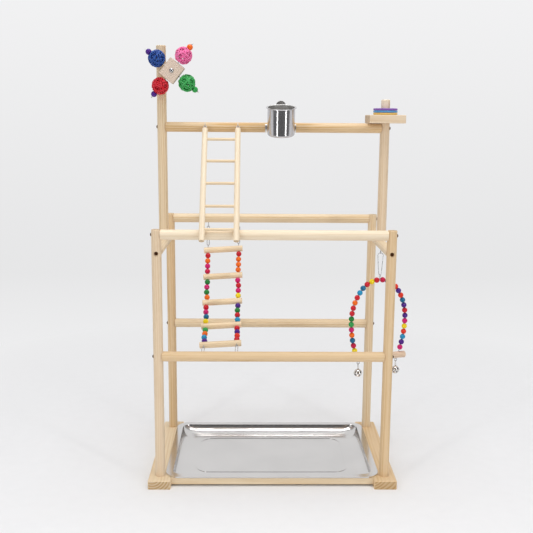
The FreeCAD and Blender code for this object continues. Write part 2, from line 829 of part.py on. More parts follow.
def make_axle():
    """A rod out of the mast's inner side, bent to the front, with the hub loose on it.

    A nut locks it against the mast, another is the stop behind the hub, and it ends in a head.
    """
    half = d.hub_thickness / 2 + d.axle_end_gap
    wood = d.mast_diameter / 2 - d.axle_embed
    rod = Bend(V(wood - d.post_spacing_x / 2, 0, d.spinner_height), V(1, 0, 0), spin_normal)
    rod.line(d.spinner_offset - wood - d.axle_bend).arc(d.axle_bend, 90)
    rod.line(d.spinner_reach - d.axle_bend + half + d.axle_head_edge / 2)
    rise = d.axle_head_height - d.axle_head_edge
    dome_radius = (d.axle_head ** 2 / 4 + rise ** 2) / (2 * rise)
    head = Part.makeCylinder(d.axle_head / 2, d.axle_head_edge, V(0, 0, half))
    dome = Part.makeSphere(dome_radius, V(0, 0, half + d.axle_head_height - dome_radius))
    above = Part.makeCylinder(d.axle_head / 2, d.axle_head, V(0, 0, half + d.axle_head_edge))
    head = slotted(head.fuse(dome.common(above)).removeSplitter(), half + d.axle_head_height)
    bolt = rod.solid(d.axle_diameter).fuse(moved(head.Solids[0], hub_place)).Solids[0]
    stop = hub_place.multiply(Placement(V(0, 0, -half - d.nut_thickness), Rotation()))
    at_mast = V(d.mast_diameter / 2 + d.contact_gap - d.post_spacing_x / 2, 0, d.spinner_height)
    lock = Placement(at_mast, ALONG_X)
    formed("spinner_axle", [bolt, hex_nut(stop), hex_nut(lock)])


make_axle()

ARMS = ("pink", "blue", "red", "green")
arm_turns = [Rotation(V(0, 0, 1), 90 * k).multiply(ALONG_X) for k in range(4)]


def make_arm_wire(turn, hub_size):
    """A straight wire out of the hub's side that ends in a short bend past the bead."""
    start = hub_size / 2 - d.arm_embed + d.contact_gap
    rod = Bend(V(0, 0, start), V(0, 0, 1), V(1, 0, 0))
    rod.line(d.arm_tip - start - d.arm_hook).arc(d.arm_wire, d.arm_hook_angle)
    rod.line(d.arm_wire)
    return moved(rod.solid(d.arm_wire), Placement(V(), turn))


arm_sides = (d.hub_length, d.hub_width) * 2
end_bead = bead(d.bead_diameter, d.bead_bore)
formed("spinner_wires", [make_arm_wire(turn, size) for turn, size in zip(arm_turns, arm_sides)],
       hub_place)
formed("spinner_beads",
       [moved(end_bead, Placement(turn.multVec(V(0, 0, d.end_bead_centre)), turn))
        for turn in arm_turns], hub_place)


def wicker_ball():
    """Six woven strips, each a great circle, which leave twelve five-sided holes.

    The wire runs through two of the holes, along Z.
    """
    radius = d.ball_diameter / 2
    shell = Part.makeSphere(radius).cut(Part.makeSphere(radius - d.ball_wall))
    axes = [V(0, 0, 1)]
    tilt = math.degrees(math.atan(2))
    for k in range(5):
        lean = Rotation(V(0, 0, 1), 72 * k).multiply(Rotation(V(0, 1, 0), tilt))
        axes.append(lean.multVec(V(0, 0, 1)))
    slabs = []
    for axis in axes:
        slabs.append(Part.makeCylinder(radius + 1, d.ball_strip, axis * (-d.ball_strip / 2), axis))
    return shell.common(slabs[0].fuse(slabs[1:])).Solids[0]


ball = wicker_ball()
for colour, turn in zip(ARMS, arm_turns):
    at = Placement(turn.multVec(V(0, 0, d.ball_centre)), turn)
    formed(f"rattan_ball_{colour}", [ball], hub_place.multiply(at))


# ---------------------------------------------------------------- cup and its holder

# The holder is a saddle on the front of the top perch. In its own frame the perch is at
# the origin, +Z is the cup's own upward line and the cup leans forward by the tilt.
cup_place = Placement(V(d.cup_shift, 0, d.top_perch_height), Rotation(V(1, 0, 0), d.cup_tilt))
perch_r = d.perch_diameter / 2
saddle_in = perch_r + d.wire_gap
saddle_out = saddle_in + d.holder_sheet
cup_back = saddle_out + d.contact_gap + (d.cup_rim - d.cup_diameter) / 2


def make_holder():
    """A strip of sheet bent round the front of the perch, with a tongue up from its middle."""
    half = d.saddle_width / 2
    start = V(-half, 0, 0)
    strip = Part.makeCylinder(saddle_out, d.saddle_width, start, V(1, 0, 0))
    strip = strip.cut(Part.makeCylinder(saddle_in, d.saddle_width, start, V(1, 0, 0)))
    reach = saddle_out + 2
    top = V(0, -reach * math.cos(math.radians(d.saddle_half_angle)),
            reach * math.sin(math.radians(d.saddle_half_angle)))
    wedge = Part.makePolygon([V(0, 0, 0), top * 2, V(0, -4 * reach, 0), V(0, top.y, -top.z) * 2,
                              V(0, 0, 0)])
    wedge = Part.Face(wedge).extrude(V(d.saddle_width, 0, 0))
    strip = strip.common(moved(wedge, Placement(start, Rotation())))
    round_top = d.tongue_top - d.tongue_width / 2
    width = d.tongue_width
    plate = Part.makeBox(width, d.holder_sheet, round_top, V(-width / 2, -saddle_out, 0))
    cap = Part.makeCylinder(width / 2, d.holder_sheet, V(0, -saddle_out, round_top), V(0, 1, 0))
    holes = [Part.makeCylinder(d.screw_diameter / 2 + d.screw_fit, 8,
                               V(side * d.holder_screw_spacing / 2, 4 - perch_r, 0), V(0, -1, 0))
             for side in (-1, 1)]
    return strip.fuse([plate, cap]).removeSplitter().cut(holes).Solids[0]


formed("cup_holder", [make_holder()], cup_place)

short_screw = round_head_screw(d.holder_screw)
holder_screws = []
for side in (-1, 1):
    head = V(side * d.holder_screw_spacing / 2, -saddle_out - d.wire_gap / 2, 0)
    holder_screws.append(moved(short_screw, Placement(head, pointing(V(0, -1, 0)))))
formed("cup_screws", holder_screws, cup_place)

cup_axis_y = -(cup_back + d.cup_diameter / 2)


def make_cup():
    """A drawn steel cup with a rolled rim, and the strap on its back that takes the tongue."""
    radius = d.cup_diameter / 2
    wall = d.cup_wall
    bottom = d.cup_rise - d.cup_height
    corner = d.cup_corner
    rim = d.cup_rim / 2
    wire = d.cup_rim_wire / 2
    turn = math.sqrt(0.5)
    outer = [V(0, 0, bottom), V(radius - corner, 0, bottom),
             V(radius - corner + corner * turn, 0, bottom + corner - corner * turn),
             V(radius, 0, bottom + corner), V(radius, 0, d.cup_rise - wire)]
    inner_corner = corner - wall
    inner = [V(radius - wall, 0, d.cup_rise - wire), V(radius - wall, 0, bottom + corner),
             V(radius - wall - inner_corner * (1 - turn), 0,
               bottom + wall + inner_corner * (1 - turn)),
             V(radius - corner, 0, bottom + wall), V(0, 0, bottom + wall)]
    edges = [Part.makeLine(outer[0], outer[1]), Part.Arc(outer[1], outer[2], outer[3]).toShape(),
             Part.makeLine(outer[3], outer[4]), Part.makeLine(outer[4], inner[0]),
             Part.makeLine(inner[0], inner[1]), Part.Arc(inner[1], inner[2], inner[3]).toShape(),
             Part.makeLine(inner[3], inner[4]), Part.makeLine(inner[4], outer[0])]
    vessel = Part.Face(Part.Wire(edges)).revolve(V(), V(0, 0, 1), 360)
    lip = Part.makeTorus(rim - wire, wire, V(0, 0, d.cup_rise - wire))
    web = Part.makeCylinder(rim - wire, wire, V(0, 0, d.cup_rise - 1.5 * wire))
    web = web.cut(Part.makeCylinder(radius - wall, 4 * wire, V(0, 0, d.cup_rise - 3 * wire)))
    vessel = vessel.fuse([lip, web]).removeSplitter()
    vessel = moved(vessel, Placement(V(0, cup_axis_y, 0), Rotation()))
    slack = d.contact_gap
    half = d.tongue_width / 2 + slack
    outer_half = half + d.strap_sheet
    deep = radius - math.sqrt(radius ** 2 - outer_half ** 2) + 0.2
    front = -(cup_back + deep)
    back = -saddle_in + slack
    strap = Part.makeBox(2 * outer_half, back + d.strap_sheet - front, d.strap_height,
                         V(-outer_half, front, d.strap_bottom))
    slot = Part.makeBox(2 * half, back + d.strap_sheet - front, d.strap_height,
                        V(-half, front - d.strap_sheet, d.strap_bottom))
    hollow = Part.makeCylinder(radius - wall / 2, d.strap_height + 2,
                               V(0, cup_axis_y, d.strap_bottom - 1))
    return vessel.fuse(strap.cut([slot, hollow])).Solids[0]


formed("cup", [make_cup()], cup_place)


# ---------------------------------------------------------------- tray

RIM_TOP = "foot_height + contact_gap + tray_lip"
TRAY_LENGTH = "(post_spacing_x - post_diameter - 2 * tray_side_gap)"
# The walls are a quarter of an oval from the mouth to the floor, drawn at these angles.
WALL_ANGLES = (90, 60, 30, 0)


def make_tray():
    """A pressed steel tray: flat rim with a turned-down edge, round walls and a level floor."""
    body = body_for("tray", Z=RIM_TOP)
    floor = [f"{TRAY_LENGTH} - 2 * tray_rim - 2 * tray_slope",
             "tray_width - 2 * tray_rim - 2 * tray_slope", "tray_floor_corner"]
    rim = sketch_on(body, "XY_Plane")
    rounded_rectangle(rim, TRAY_LENGTH, "tray_width", "tray_corner")
    plate = body.newObject("PartDesign::Pad", "rim")
    plate.Profile = rim
    plate.Reversed = True
    bind(plate, {"Length": "tray_lip"})
    under = sketch_on(body, "XY_Plane", "-tray_lip")
    rounded_rectangle(under, f"{TRAY_LENGTH} - 2 * tray_sheet", "tray_width - 2 * tray_sheet",
                      "tray_corner - tray_sheet")
    hollow = body.newObject("PartDesign::Pocket", "rim_underside")
    hollow.Profile = under
    hollow.Reversed = True
    bind(hollow, {"Length": "tray_lip - tray_sheet"})
    doc.recompute()

    def wall_line(angle, grow, lift):
        """The wall's outline at one angle of its oval, moved out by grow and up by lift."""
        inset = f"(tray_rim + tray_slope * (1 - cos({angle} deg)) - ({grow}))"
        share = f"sin({angle} deg)"
        corner = f"(tray_mouth_corner + (tray_floor_corner - tray_mouth_corner) * {share})"
        height = f"-(tray_depth - ({lift})) * {share}"
        sketch = sketch_on(body, "XY_Plane", height)
        rounded_rectangle(sketch, f"{TRAY_LENGTH} - 2 * {inset}", f"tray_width - 2 * {inset}",
                          f"{corner} + {grow}")
        return sketch
    for kind, grow, lift in (("PartDesign::AdditiveLoft", "0 * tray_sheet", "0 * tray_sheet"),
                             ("PartDesign::SubtractiveLoft", "-tray_sheet", "tray_sheet")):
        loft = body.newObject(kind, "walls")
        loft.Profile = wall_line(WALL_ANGLES[0], grow, lift)
        loft.Sections = [wall_line(angle, grow, lift) for angle in WALL_ANGLES[1:]]
        doc.recompute()
    bead_outer = sketch_on(body, "XY_Plane", "tray_sheet - tray_depth")
    for inset in ("tray_bead_inset", "tray_bead_inset + tray_bead_width"):
        rounded_rectangle(bead_outer, f"{floor[0]} - 2 * ({inset})", f"{floor[1]} - 2 * ({inset})",
                          "tray_floor_corner" if inset == "tray_bead_inset"
                          else "tray_floor_corner - tray_bead_width")
    pad(body, bead_outer, "tray_bead_height")
    return body


make_tray()


# ---------------------------------------------------------------- hooks and the rigid ladder

clear_wires = d.hook_wire + d.wire_gap
hook_entry = V(0, -math.sqrt(perch_r ** 2 - d.ladder_hook_rise ** 2),
               d.top_perch_height + d.ladder_hook_rise)
ladder_xs = [d.ladder_shift - d.ladder_spacing / 2, d.ladder_shift + d.ladder_spacing / 2]


def hook_centre(base, outward, opening):
    """The middle of a hook's bend."""
    swing = math.radians(d.hook_lead)
    outward = V(outward)
    opening = V(opening)
    first = base + outward * d.hook_stem - opening * d.hook_radius
    turned = first + (outward * math.sin(swing) + opening * math.cos(swing)) * d.hook_radius
    return turned + (outward * math.sin(swing) + opening * math.cos(swing)) * d.hook_radius


ladder_hook_centre = hook_centre(hook_entry, V(0, -1, 0), V(0, 0, 1))
ladder_pivot = ladder_hook_centre + V(0, 0, clear_wires - d.hook_radius)
lean_on = V(0, -d.post_spacing_y / 2, d.upper_perch_height)
stand_off = perch_r + d.ladder_rail / 2 + d.contact_gap
to_perch = lean_on - ladder_pivot
ladder_lean = (math.degrees(math.asin(stand_off / to_perch.Length))
               + math.degrees(math.atan2(-to_perch.y, -to_perch.z)))
# In the ladder's own frame the pivot is at the origin and -Z runs down its rails.
ladder_place = Placement(V(d.ladder_shift, ladder_pivot.y, ladder_pivot.z),
                         Rotation(V(1, 0, 0), -ladder_lean))
rail_top = -(2 * d.eye_radius + d.eye_stem)


def make_ladder():
    """Two dowel rails joined by five thin rungs that sit in blind holes."""
    for side, sign in (("left", -1), ("right", 1)):
        body = dowel(f"ladder_rail_{side}", "ladder_rail", "ladder_length")
        for number in range(int(d.ladder_rung_count)):
            place = f"ladder_length / 2 + {number - (int(d.ladder_rung_count) - 1) / 2}"
            bore(body, "YZ_Plane", "ladder_rung + 2 * screw_fit", "ladder_rung_depth",
                 along=f"{place} * ladder_rung_pitch", offset=f"{-sign} * ladder_rail / 2")
        bore(body, "XY_Plane", THREAD, "thread_length + 1", offset="ladder_length")
        foot = V(sign * d.ladder_spacing / 2, 0, rail_top - d.ladder_length)
        body.Placement = ladder_place.multiply(Placement(foot, Rotation()))
    half = d.ladder_spacing / 2 - d.ladder_rail / 2 + d.ladder_rung_depth - d.screw_fit
    rungs = []
    for number in range(int(d.ladder_rung_count)):
        step = (number - (d.ladder_rung_count - 1) / 2) * d.ladder_rung_pitch
        height = rail_top - d.ladder_length / 2 + step
        rungs.append(Part.makeCylinder(d.ladder_rung / 2, 2 * half, V(-half, 0, height), V(1, 0, 0)))
    formed("ladder_rungs", rungs, ladder_place)
    eyes = [screw_eye(V(side * d.ladder_spacing / 2, 0, rail_top), V(0, 0, 1), V(1, 0, 0))
            for side in (-1, 1)]
    formed("ladder_eyes", eyes, ladder_place)


make_ladder()

# ---------------------------------------------------------------- bead ladder

string_xs = [d.bead_ladder_shift - d.string_spacing / 2, d.bead_ladder_shift + d.string_spacing / 2]
rear_hook_base = V(0, d.post_spacing_y / 2, d.upper_perch_height - perch_r)
front_hook_base = V(0, -d.post_spacing_y / 2 + perch_r, d.lower_perch_height)
rear_hook_centre = hook_centre(rear_hook_base, V(0, 0, -1), V(0, -1, 0))
front_hook_centre = hook_centre(front_hook_base, V(0, 1, 0), V(0, 0, 1))
chain_top = rear_hook_centre + V(0, 0, clear_wires - d.hook_radius)
chain_end = front_hook_centre + V(0, d.hook_radius - clear_wires, 0)
eye_reach = d.rope_rung / 2 + d.eye_stem + 2 * d.eye_radius
eye_pivot = eye_reach - clear_wires


def down(angle):
    """The direction that leaves the vertical by an angle, towards the front."""
    return V(0, -math.sin(math.radians(angle)), -math.cos(math.radians(angle)))


SECTION_ANGLES = [d.section_angle_1, d.section_angle_2, d.section_angle_3, d.section_angle_4]
rungs_at = [chain_top + down(d.link_angle) * (d.upper_link_length + eye_reach - d.hook_wire)]
for angle in SECTION_ANGLES:
    rungs_at.append(rungs_at[-1] + down(angle) * d.section_length)
tilted = Rotation(V(0, 1, 0), -d.rope_rung_tilt)
# Half the rung from its middle to a string, along the tilted rung.
reach = tilted.multVec(V(d.string_spacing / 2, 0, 0))
middle_x = V(d.bead_ladder_shift, 0, 0)
row_step = (d.section_length - d.rope_rung) / d.section_beads
string_hole = d.string_wire / 2 + d.screw_fit
last_pull = (chain_end - rungs_at[-1]).normalize()


def untilted(direction):
    """A direction as the tilted rung sees it."""
    return tilted.inverted().multVec(direction)


def make_rope_rung(number):
    """A short dowel on two strings, drilled for them and for any eye screws."""
    centre = middle_x + rungs_at[number]
    half = d.rope_rung_length / 2
    log = Part.makeCylinder(d.rope_rung / 2, 2 * half, V(-half, 0, 0), V(1, 0, 0))
    log = log.makeChamfer(d.end_chamfer, [e for e in log.Edges if is_round(e)])
    drills = []
    for side in (-1, 1):
        at = V(side * d.string_spacing / 2, 0, 0)
        if number < 4:
            drills.append(Part.makeCylinder(string_hole, d.rope_rung, at,
                                            untilted(down(SECTION_ANGLES[number]))))
            drills.append(Part.makeSphere(string_hole + d.screw_fit, at))
        for index, way in ((0, down(d.link_angle) * -1), (4, last_pull)):
            if number == index:
                start = at + untilted(way) * (d.rope_rung / 2 - d.rope_eye_thread - d.wire_gap)
                drills.append(Part.makeCylinder(d.hook_wire / 2 + d.wire_gap, d.rope_rung, start,
                                                untilted(way)))
    log = log.cut(drills)
    formed(f"bead_rung_{number + 1}", [log.Solids[0]], Placement(centre, tilted))


def make_bead_row(number):
    """Two strings of four beads below a rung; each string is fast in that rung."""
    way = down(SECTION_ANGLES[number])
    turn = pointing(way)
    drop = d.section_length - d.rope_rung / 2 - d.contact_gap
    pieces = []
    for side in (-1, 1):
        top = middle_x + rungs_at[number] + reach * side
        pieces.append(Part.makeCylinder(d.string_wire / 2, drop, top, way))
        for count in range(int(d.section_beads)):
            along = d.rope_rung / 2 + (count + 0.5) * row_step
            pieces.append(moved(string_bead, Placement(top + way * along, turn)))
    formed(f"bead_row_{number + 1}", pieces)


string_bead = bead(d.bead_diameter, d.bead_bore)
for number in range(5):
    make_rope_rung(number)
for number in range(4):
    make_bead_row(number)


def rope_eye(rung, side, way):
    """A short eye screw in a rope rung; the wire of its ring runs across at the far end."""
    base = middle_x + rung + reach * side + way * (d.rope_rung / 2)
    ring = base + way * (d.eye_stem + d.eye_radius)
    thread = d.rope_eye_thread
    stem = Part.makeCylinder(d.eye_shank / 2, thread + d.eye_stem + d.ring_bite,
                             base - way * thread, way)
    return with_ring(stem, ring, V(1, 0, 0), d.eye_radius, d.hook_wire)


formed("bead_eyes_upper", [rope_eye(rungs_at[0], side, down(d.link_angle) * -1)
                           for side in (-1, 1)])
formed("bead_eyes_lower", [rope_eye(rungs_at[-1], side, last_pull) for side in (-1, 1)])


def make_rope_links(label, hang, rung, hook_way):
    """Oval wire links from the hooks to the eyes in a rung."""
    links = []
    for side in (-1, 1):
        at_hook = hang + V(string_xs[0] if side < 0 else string_xs[1], 0, 0)
        rung_point = middle_x + rung + reach * side
        pull = V(at_hook - rung_point).normalize()
        at_eye = rung_point + hook_way * (eye_reach - clear_wires)
        links.append(link_between(at_hook, at_eye, V(1, 0, 0), d.link_width / 2,
                                  d.link_width / 2, d.hook_wire))
    formed(label, links)


make_rope_links("bead_links_upper", chain_top, rungs_at[0], down(d.link_angle) * -1)
make_rope_links("bead_links_lower", chain_end, rungs_at[-1], last_pull)


# ---------------------------------------------------------------- swing

beam_x = d.post_spacing_x / 2
swing_eye_base = V(beam_x, 0, d.beam_height - d.beam_diameter / 2)
swing_eye_centre = swing_eye_base - V(0, 0, d.swing_eye_stem + d.hook_radius)
clip_top = swing_eye_centre - V(0, 0, d.hook_radius - clear_wires)
clip_bottom = clip_top - V(0, 0, d.clip_length)


def make_screw_hooks():
    """The hooks in three perches and the eye under the right side beam, all one wire size."""
    pieces = []
    for x in ladder_xs:
        pieces.append(cup_hook(hook_entry + V(x, 0, 0), V(0, -1, 0), V(0, 0, 1)))
    for x in string_xs:
        pieces.append(cup_hook(rear_hook_base + V(x, 0, 0), V(0, 0, -1), V(0, -1, 0)))
        pieces.append(cup_hook(front_hook_base + V(x, 0, 0), V(0, 1, 0), V(0, 0, 1)))
    stem = Part.makeCylinder(d.eye_shank / 2, d.thread_length + d.swing_eye_stem + d.ring_bite,
                             swing_eye_base + V(0, 0, d.thread_length), V(0, 0, -1))
    pieces.append(with_ring(stem, swing_eye_centre, V(1, 0, 0), d.hook_radius, d.hook_wire))
    formed("screw_hooks", pieces)


make_screw_hooks()
formed("swing_clip", [link_between(clip_top, clip_bottom, V(1, 0, 0), d.clip_top_radius,
                                   d.clip_bottom_radius, d.swing_wire)])

# In the swing's own frame the perch runs along X and the origin is at the clip's lower end.
swing_place = Placement(clip_bottom, Rotation(V(0, 0, 1), d.swing_turn))
hang_gap = d.swing_wire + d.wire_gap
swing_ring = V(0, 0, hang_gap - d.eye_radius)
apex = swing_ring - V(0, 0, d.eye_radius + d.swing_stem)
perch_axis = apex.z - d.arch_height
side_radius = ((d.arch_half_width ** 2 + d.arch_shoulder ** 2 - 2 * d.arch_shoulder
                * d.arch_crown_radius) / (2 * (d.arch_half_width - d.arch_crown_radius)))
crown_turn = 90 - math.degrees(math.acos((side_radius - d.arch_half_width)
                                         / (side_radius - d.arch_crown_radius)))
lower_drop = d.arch_height - d.arch_shoulder - d.swing_perch / 2
inset = d.arch_half_width - d.arch_foot
lower_radius = (lower_drop ** 2 + inset ** 2) / (2 * inset)
foot_lean = math.degrees(math.asin(lower_drop / lower_radius))
perch_wall = d.swing_perch / math.cos(math.radians(foot_lean))


def half_arch(side):
    """One side of the bent wire, from the crown down through the perch."""
    rod = Bend(apex, V(side, 0, 0), V(0, 0, -1))
    rod.arc(d.arch_crown_radius, crown_turn).arc(side_radius, 90 - crown_turn)
    rod.arc(lower_radius, foot_lean)
    return rod.line(perch_wall + 1.5)


def below(side):
    """The middle of the ring at the wire's end, under the perch."""
    point, heading = half_arch(side).at(half_arch(side).length())
    return point + heading * d.eye_radius, heading


def make_swing_wire():
    """The bent wire with a ring at its crown and one below each end of the perch."""
    wire = half_arch(1).solid(d.swing_wire).fuse(half_arch(-1).solid(d.swing_wire))
    stem = Part.makeCylinder(d.swing_wire / 2, d.swing_stem, apex, V(0, 0, 1))
    wire = with_ring(wire.fuse(stem), swing_ring, V(1, 0, 0), d.eye_radius, d.swing_ring_wire)
    for side in (-1, 1):
        wire = with_ring(wire, below(side)[0], V(0, 1, 0), d.eye_radius, d.swing_ring_wire)
    return wire


formed("swing_wire", [make_swing_wire()], swing_place)


def make_swing_beads():
    """Sixteen beads on each side of the arch."""
    beads = []
    for side in (-1, 1):
        arch = half_arch(side)
        for number in range(int(d.arch_beads)):
            distance = d.bead_diameter / 2 + d.arch_bead_gap + number * d.arch_bead_pitch
            point, heading = arch.at(distance)
            beads.append(moved(string_bead, Placement(point, pointing(heading))))
    return beads


formed("swing_beads", make_swing_beads(), swing_place)


def make_swing_perch():
    """The swing's dowel, drilled at a lean for both ends of the wire."""
    half = d.swing_perch_length / 2
    log = Part.makeCylinder(d.swing_perch / 2, 2 * half, V(-half, 0, perch_axis), V(1, 0, 0))
    log = log.makeChamfer(d.end_chamfer, [e for e in log.Edges if is_round(e)])
    drills = []
    for side in (-1, 1):
        arch = half_arch(side)
        point, heading = arch.at(arch.length())
        start = point - heading * (perch_wall + 6)
        drills.append(Part.makeCylinder(d.swing_wire / 2 + d.wire_gap, perch_wall + 12, start,
                                        heading))
    return log.cut(drills).Solids[0]


formed("swing_perch", [make_swing_perch()], swing_place)


def jingle_bell():
    """A thin ball with crossed slits below, its link above, and the pellet inside.

    The origin is the middle of the link's top wire, and the bell hangs along -Z.
    """
    radius = d.bell_diameter / 2
    centre = -(d.bell_link_length + radius + d.bell_wall / 2)
    shell = Part.makeSphere(radius, V(0, 0, centre))
    inside = Part.makeSphere(radius - d.bell_wall, V(0, 0, centre))
    reach = radius + d.bell_seam
    slit_top = centre - d.bell_slit_top
    cuts = []
    for size in ((reach, d.bell_slit / 2), (d.bell_slit / 2, reach)):
        corner = V(-size[0], -size[1], slit_top - radius)
        cuts.append(Part.makeBox(2 * size[0], 2 * size[1], radius, corner))
    for across in (V(1, 0, 0), V(0, 1, 0)):
        start = V(0, 0, slit_top) - across * reach
        cuts.append(Part.makeCylinder(d.bell_slit_hole / 2, 2 * reach, start, across))
    seam = Part.makeCylinder(radius + d.bell_seam / 2, d.bell_seam,
                             V(0, 0, centre - d.bell_seam / 2))
    shell = shell.fuse(seam).cut(inside).cut(cuts)
    link = link_between(V(), V(0, 0, -d.bell_link_length), V(0, 1, 0), d.bell_link_radius,
                        d.bell_link_radius, d.swing_wire)
    pellet = Part.makeSphere(d.pellet_diameter / 2,
                             V(0, 0, centre - radius + d.bell_wall + d.pellet_diameter / 2
                               + d.wire_gap))
    return [shell.fuse(link).Solids[0], pellet]


for name, side in (("left", -1), ("right", 1)):
    ring, heading = below(side)
    pivot = ring - V(0, 0, d.eye_radius - hang_gap)
    formed(f"bell_{name}", jingle_bell(), swing_place.multiply(Placement(pivot, Rotation())))


# ---------------------------------------------------------------- checks and files

doc.recompute()
failed = [thing.Name for thing in doc.Objects if {"Invalid", "Error"} & set(thing.State)]
for thing in NODES:
    if thing.Shape.isNull() or not thing.Shape.isValid() or not thing.Shape.Solids:
        failed.append(thing.Label)
if failed:
    raise RuntimeError(f"these did not build: {failed}")

os.makedirs("parts", exist_ok=True)
for thing in NODES:
    thing.Shape.exportStep(f"parts/{thing.Label}.step")
solids = sum(len(thing.Shape.Solids) for thing in NODES)
print(f"{len(NODES)} nodes, {solids} solids")
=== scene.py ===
import itertools
import json
import math

import bpy
import numpy as np
from mathutils import Matrix, Vector


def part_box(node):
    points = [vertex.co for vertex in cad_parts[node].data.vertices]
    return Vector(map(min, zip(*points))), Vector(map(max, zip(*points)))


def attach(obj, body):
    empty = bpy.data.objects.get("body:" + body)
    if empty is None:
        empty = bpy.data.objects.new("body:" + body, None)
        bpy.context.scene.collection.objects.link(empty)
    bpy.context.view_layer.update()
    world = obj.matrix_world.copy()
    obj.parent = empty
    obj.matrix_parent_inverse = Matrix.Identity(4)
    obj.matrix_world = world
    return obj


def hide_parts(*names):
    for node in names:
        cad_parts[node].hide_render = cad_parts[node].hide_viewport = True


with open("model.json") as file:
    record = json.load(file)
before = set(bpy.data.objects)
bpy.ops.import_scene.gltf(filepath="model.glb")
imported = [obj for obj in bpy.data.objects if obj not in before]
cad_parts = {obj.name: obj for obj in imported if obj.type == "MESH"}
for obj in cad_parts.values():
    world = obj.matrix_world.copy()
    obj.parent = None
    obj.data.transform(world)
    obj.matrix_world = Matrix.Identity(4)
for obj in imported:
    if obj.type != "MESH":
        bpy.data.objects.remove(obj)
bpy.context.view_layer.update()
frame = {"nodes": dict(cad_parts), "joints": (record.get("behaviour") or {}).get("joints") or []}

# ---------------------------------------------------------------- feet and base rails
# Two flat pine bars lie front to back and carry the posts. A thin rail joins
# their inner sides at each end, with a round tenon glued into each foot.


class Wire:
    """One shader socket; a sum or product on it adds its Math node."""

    def __init__(self, finish, socket):
        self.finish = finish
        self.socket = socket

    def __add__(self, other):
        return self.finish.reckon("ADD", self, other)

    def __sub__(self, other):
        return self.finish.reckon("SUBTRACT", self, other)

    def __mul__(self, other):
        return self.finish.reckon("MULTIPLY", self, other)

    def __truediv__(self, other):
        return self.finish.reckon("DIVIDE", self, other)

    def __pow__(self, other):
        return self.finish.reckon("POWER", self, other)

    __radd__ = __add__
    __rmul__ = __mul__


class Finish:
    """A shader tree under construction, in a new material or in a world that is given."""

    def __init__(self, owner):
        self.owner = bpy.data.materials.new(owner) if isinstance(owner, str) else owner
        self.owner.use_nodes = True
        self.tree = self.owner.node_tree
        self.tree.nodes.clear()

    def node(self, kind, settings=None, values=(), out=0):
        """Adds a node; values are given in order, or by the socket's name or number."""
        made = self.tree.nodes.new(kind)
        for key, value in (settings or {}).items():
            if key == "stops":
                ramp = made.color_ramp
                while len(ramp.elements) < len(value):
                    ramp.elements.new(0.5)
                for element, (place, colour) in zip(ramp.elements, value):
                    element.position = place
                    element.color = (*colour, 1)
            else:
                setattr(made, key, value)
        pairs = values.items() if isinstance(values, dict) else enumerate(values)
        for key, value in pairs:
            if isinstance(value, Wire):
                self.tree.links.new(value.socket, made.inputs[key])
            elif made.inputs[key].type == "RGBA" and len(value) == 3:
                made.inputs[key].default_value = (*value, 1)
            else:
                made.inputs[key].default_value = value
        return Wire(self, made.outputs[out]) if made.outputs else None

    def place(self):
        return self.node("ShaderNodeTexCoord", out="Object")

    def reckon(self, operation, *values):
        return self.node("ShaderNodeMath", {"operation": operation}, values)

    def vector(self, operation, first, second, out="Vector"):
        return self.node("ShaderNodeVectorMath", {"operation": operation},
                         (first, second), out)

    def dot(self, vector, other):
        return self.vector("DOT_PRODUCT", vector, other, "Value")

    def stretch(self, vector, amounts):
        return self.vector("MULTIPLY", vector, amounts)

    def place_from(self, centre):
        return self.vector("SUBTRACT", self.place(), centre)

    def join(self, x, y, z):
        return self.node("ShaderNodeCombineXYZ", None, (x, y, z))

    def split(self, vector):
        parts = self.node("ShaderNodeSeparateXYZ", None, (vector,)).socket.node
        return [Wire(self, part) for part in parts.outputs]

    def noise(self, vector, scale, detail=2.0, rough=0.5):
        return self.node("ShaderNodeTexNoise", None, {"Vector": vector, "Scale": scale,
                                                      "Detail": detail, "Roughness": rough})

    def ramp(self, value, stops):
        return self.node("ShaderNodeValToRGB", {"stops": stops}, (value,))

    def blend(self, amount, first, second):
        return self.node("ShaderNodeMix", {"data_type": "RGBA"},
                         {0: amount, 6: first, 7: second}, out=2)

    def clamp(self, value, low, high, to_low=0.0, to_high=1.0):
        return self.node("ShaderNodeMapRange", None, (value, low, high, to_low, to_high))

    def bump(self, height, strength, distance):
        return self.node("ShaderNodeBump", None,
                         {"Height": height, "Strength": strength, "Distance": distance})

    def surface(self, **inputs):
        """Ends the material in one shader; names use _ for a space."""
        values = {key.replace("_", " "): value for key, value in inputs.items()}
        shader = self.node("ShaderNodeBsdfPrincipled", None, values, out="BSDF")
        self.node("ShaderNodeOutputMaterial", None, {"Surface": shader})
        return self.owner


def middle_of(node):
    low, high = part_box(node)
    return (low + high) / 2


def clad(node, material):
    """Gives a CAD node its finish."""
    mesh = frame["nodes"][node].data
    mesh.materials.clear()
    mesh.materials.append(material)


CREAM = (0.89, 0.77, 0.59)
STRAW = (0.82, 0.67, 0.465)
ROSY = (0.80, 0.65, 0.475)
HONEY = (0.76, 0.565, 0.345)
AMBER = (0.56, 0.325, 0.105)


def fibres(wood, parts, fine, long, shift=0.0, detail=1.0, rough=0.5):
    """Noise drawn out along the grain, so many waves to the metre across it and down it."""
    across, deep, run = parts
    waves = wood.join(across * fine, deep * fine, run * long + shift)
    return wood.noise(waves, 1.0, detail, rough)


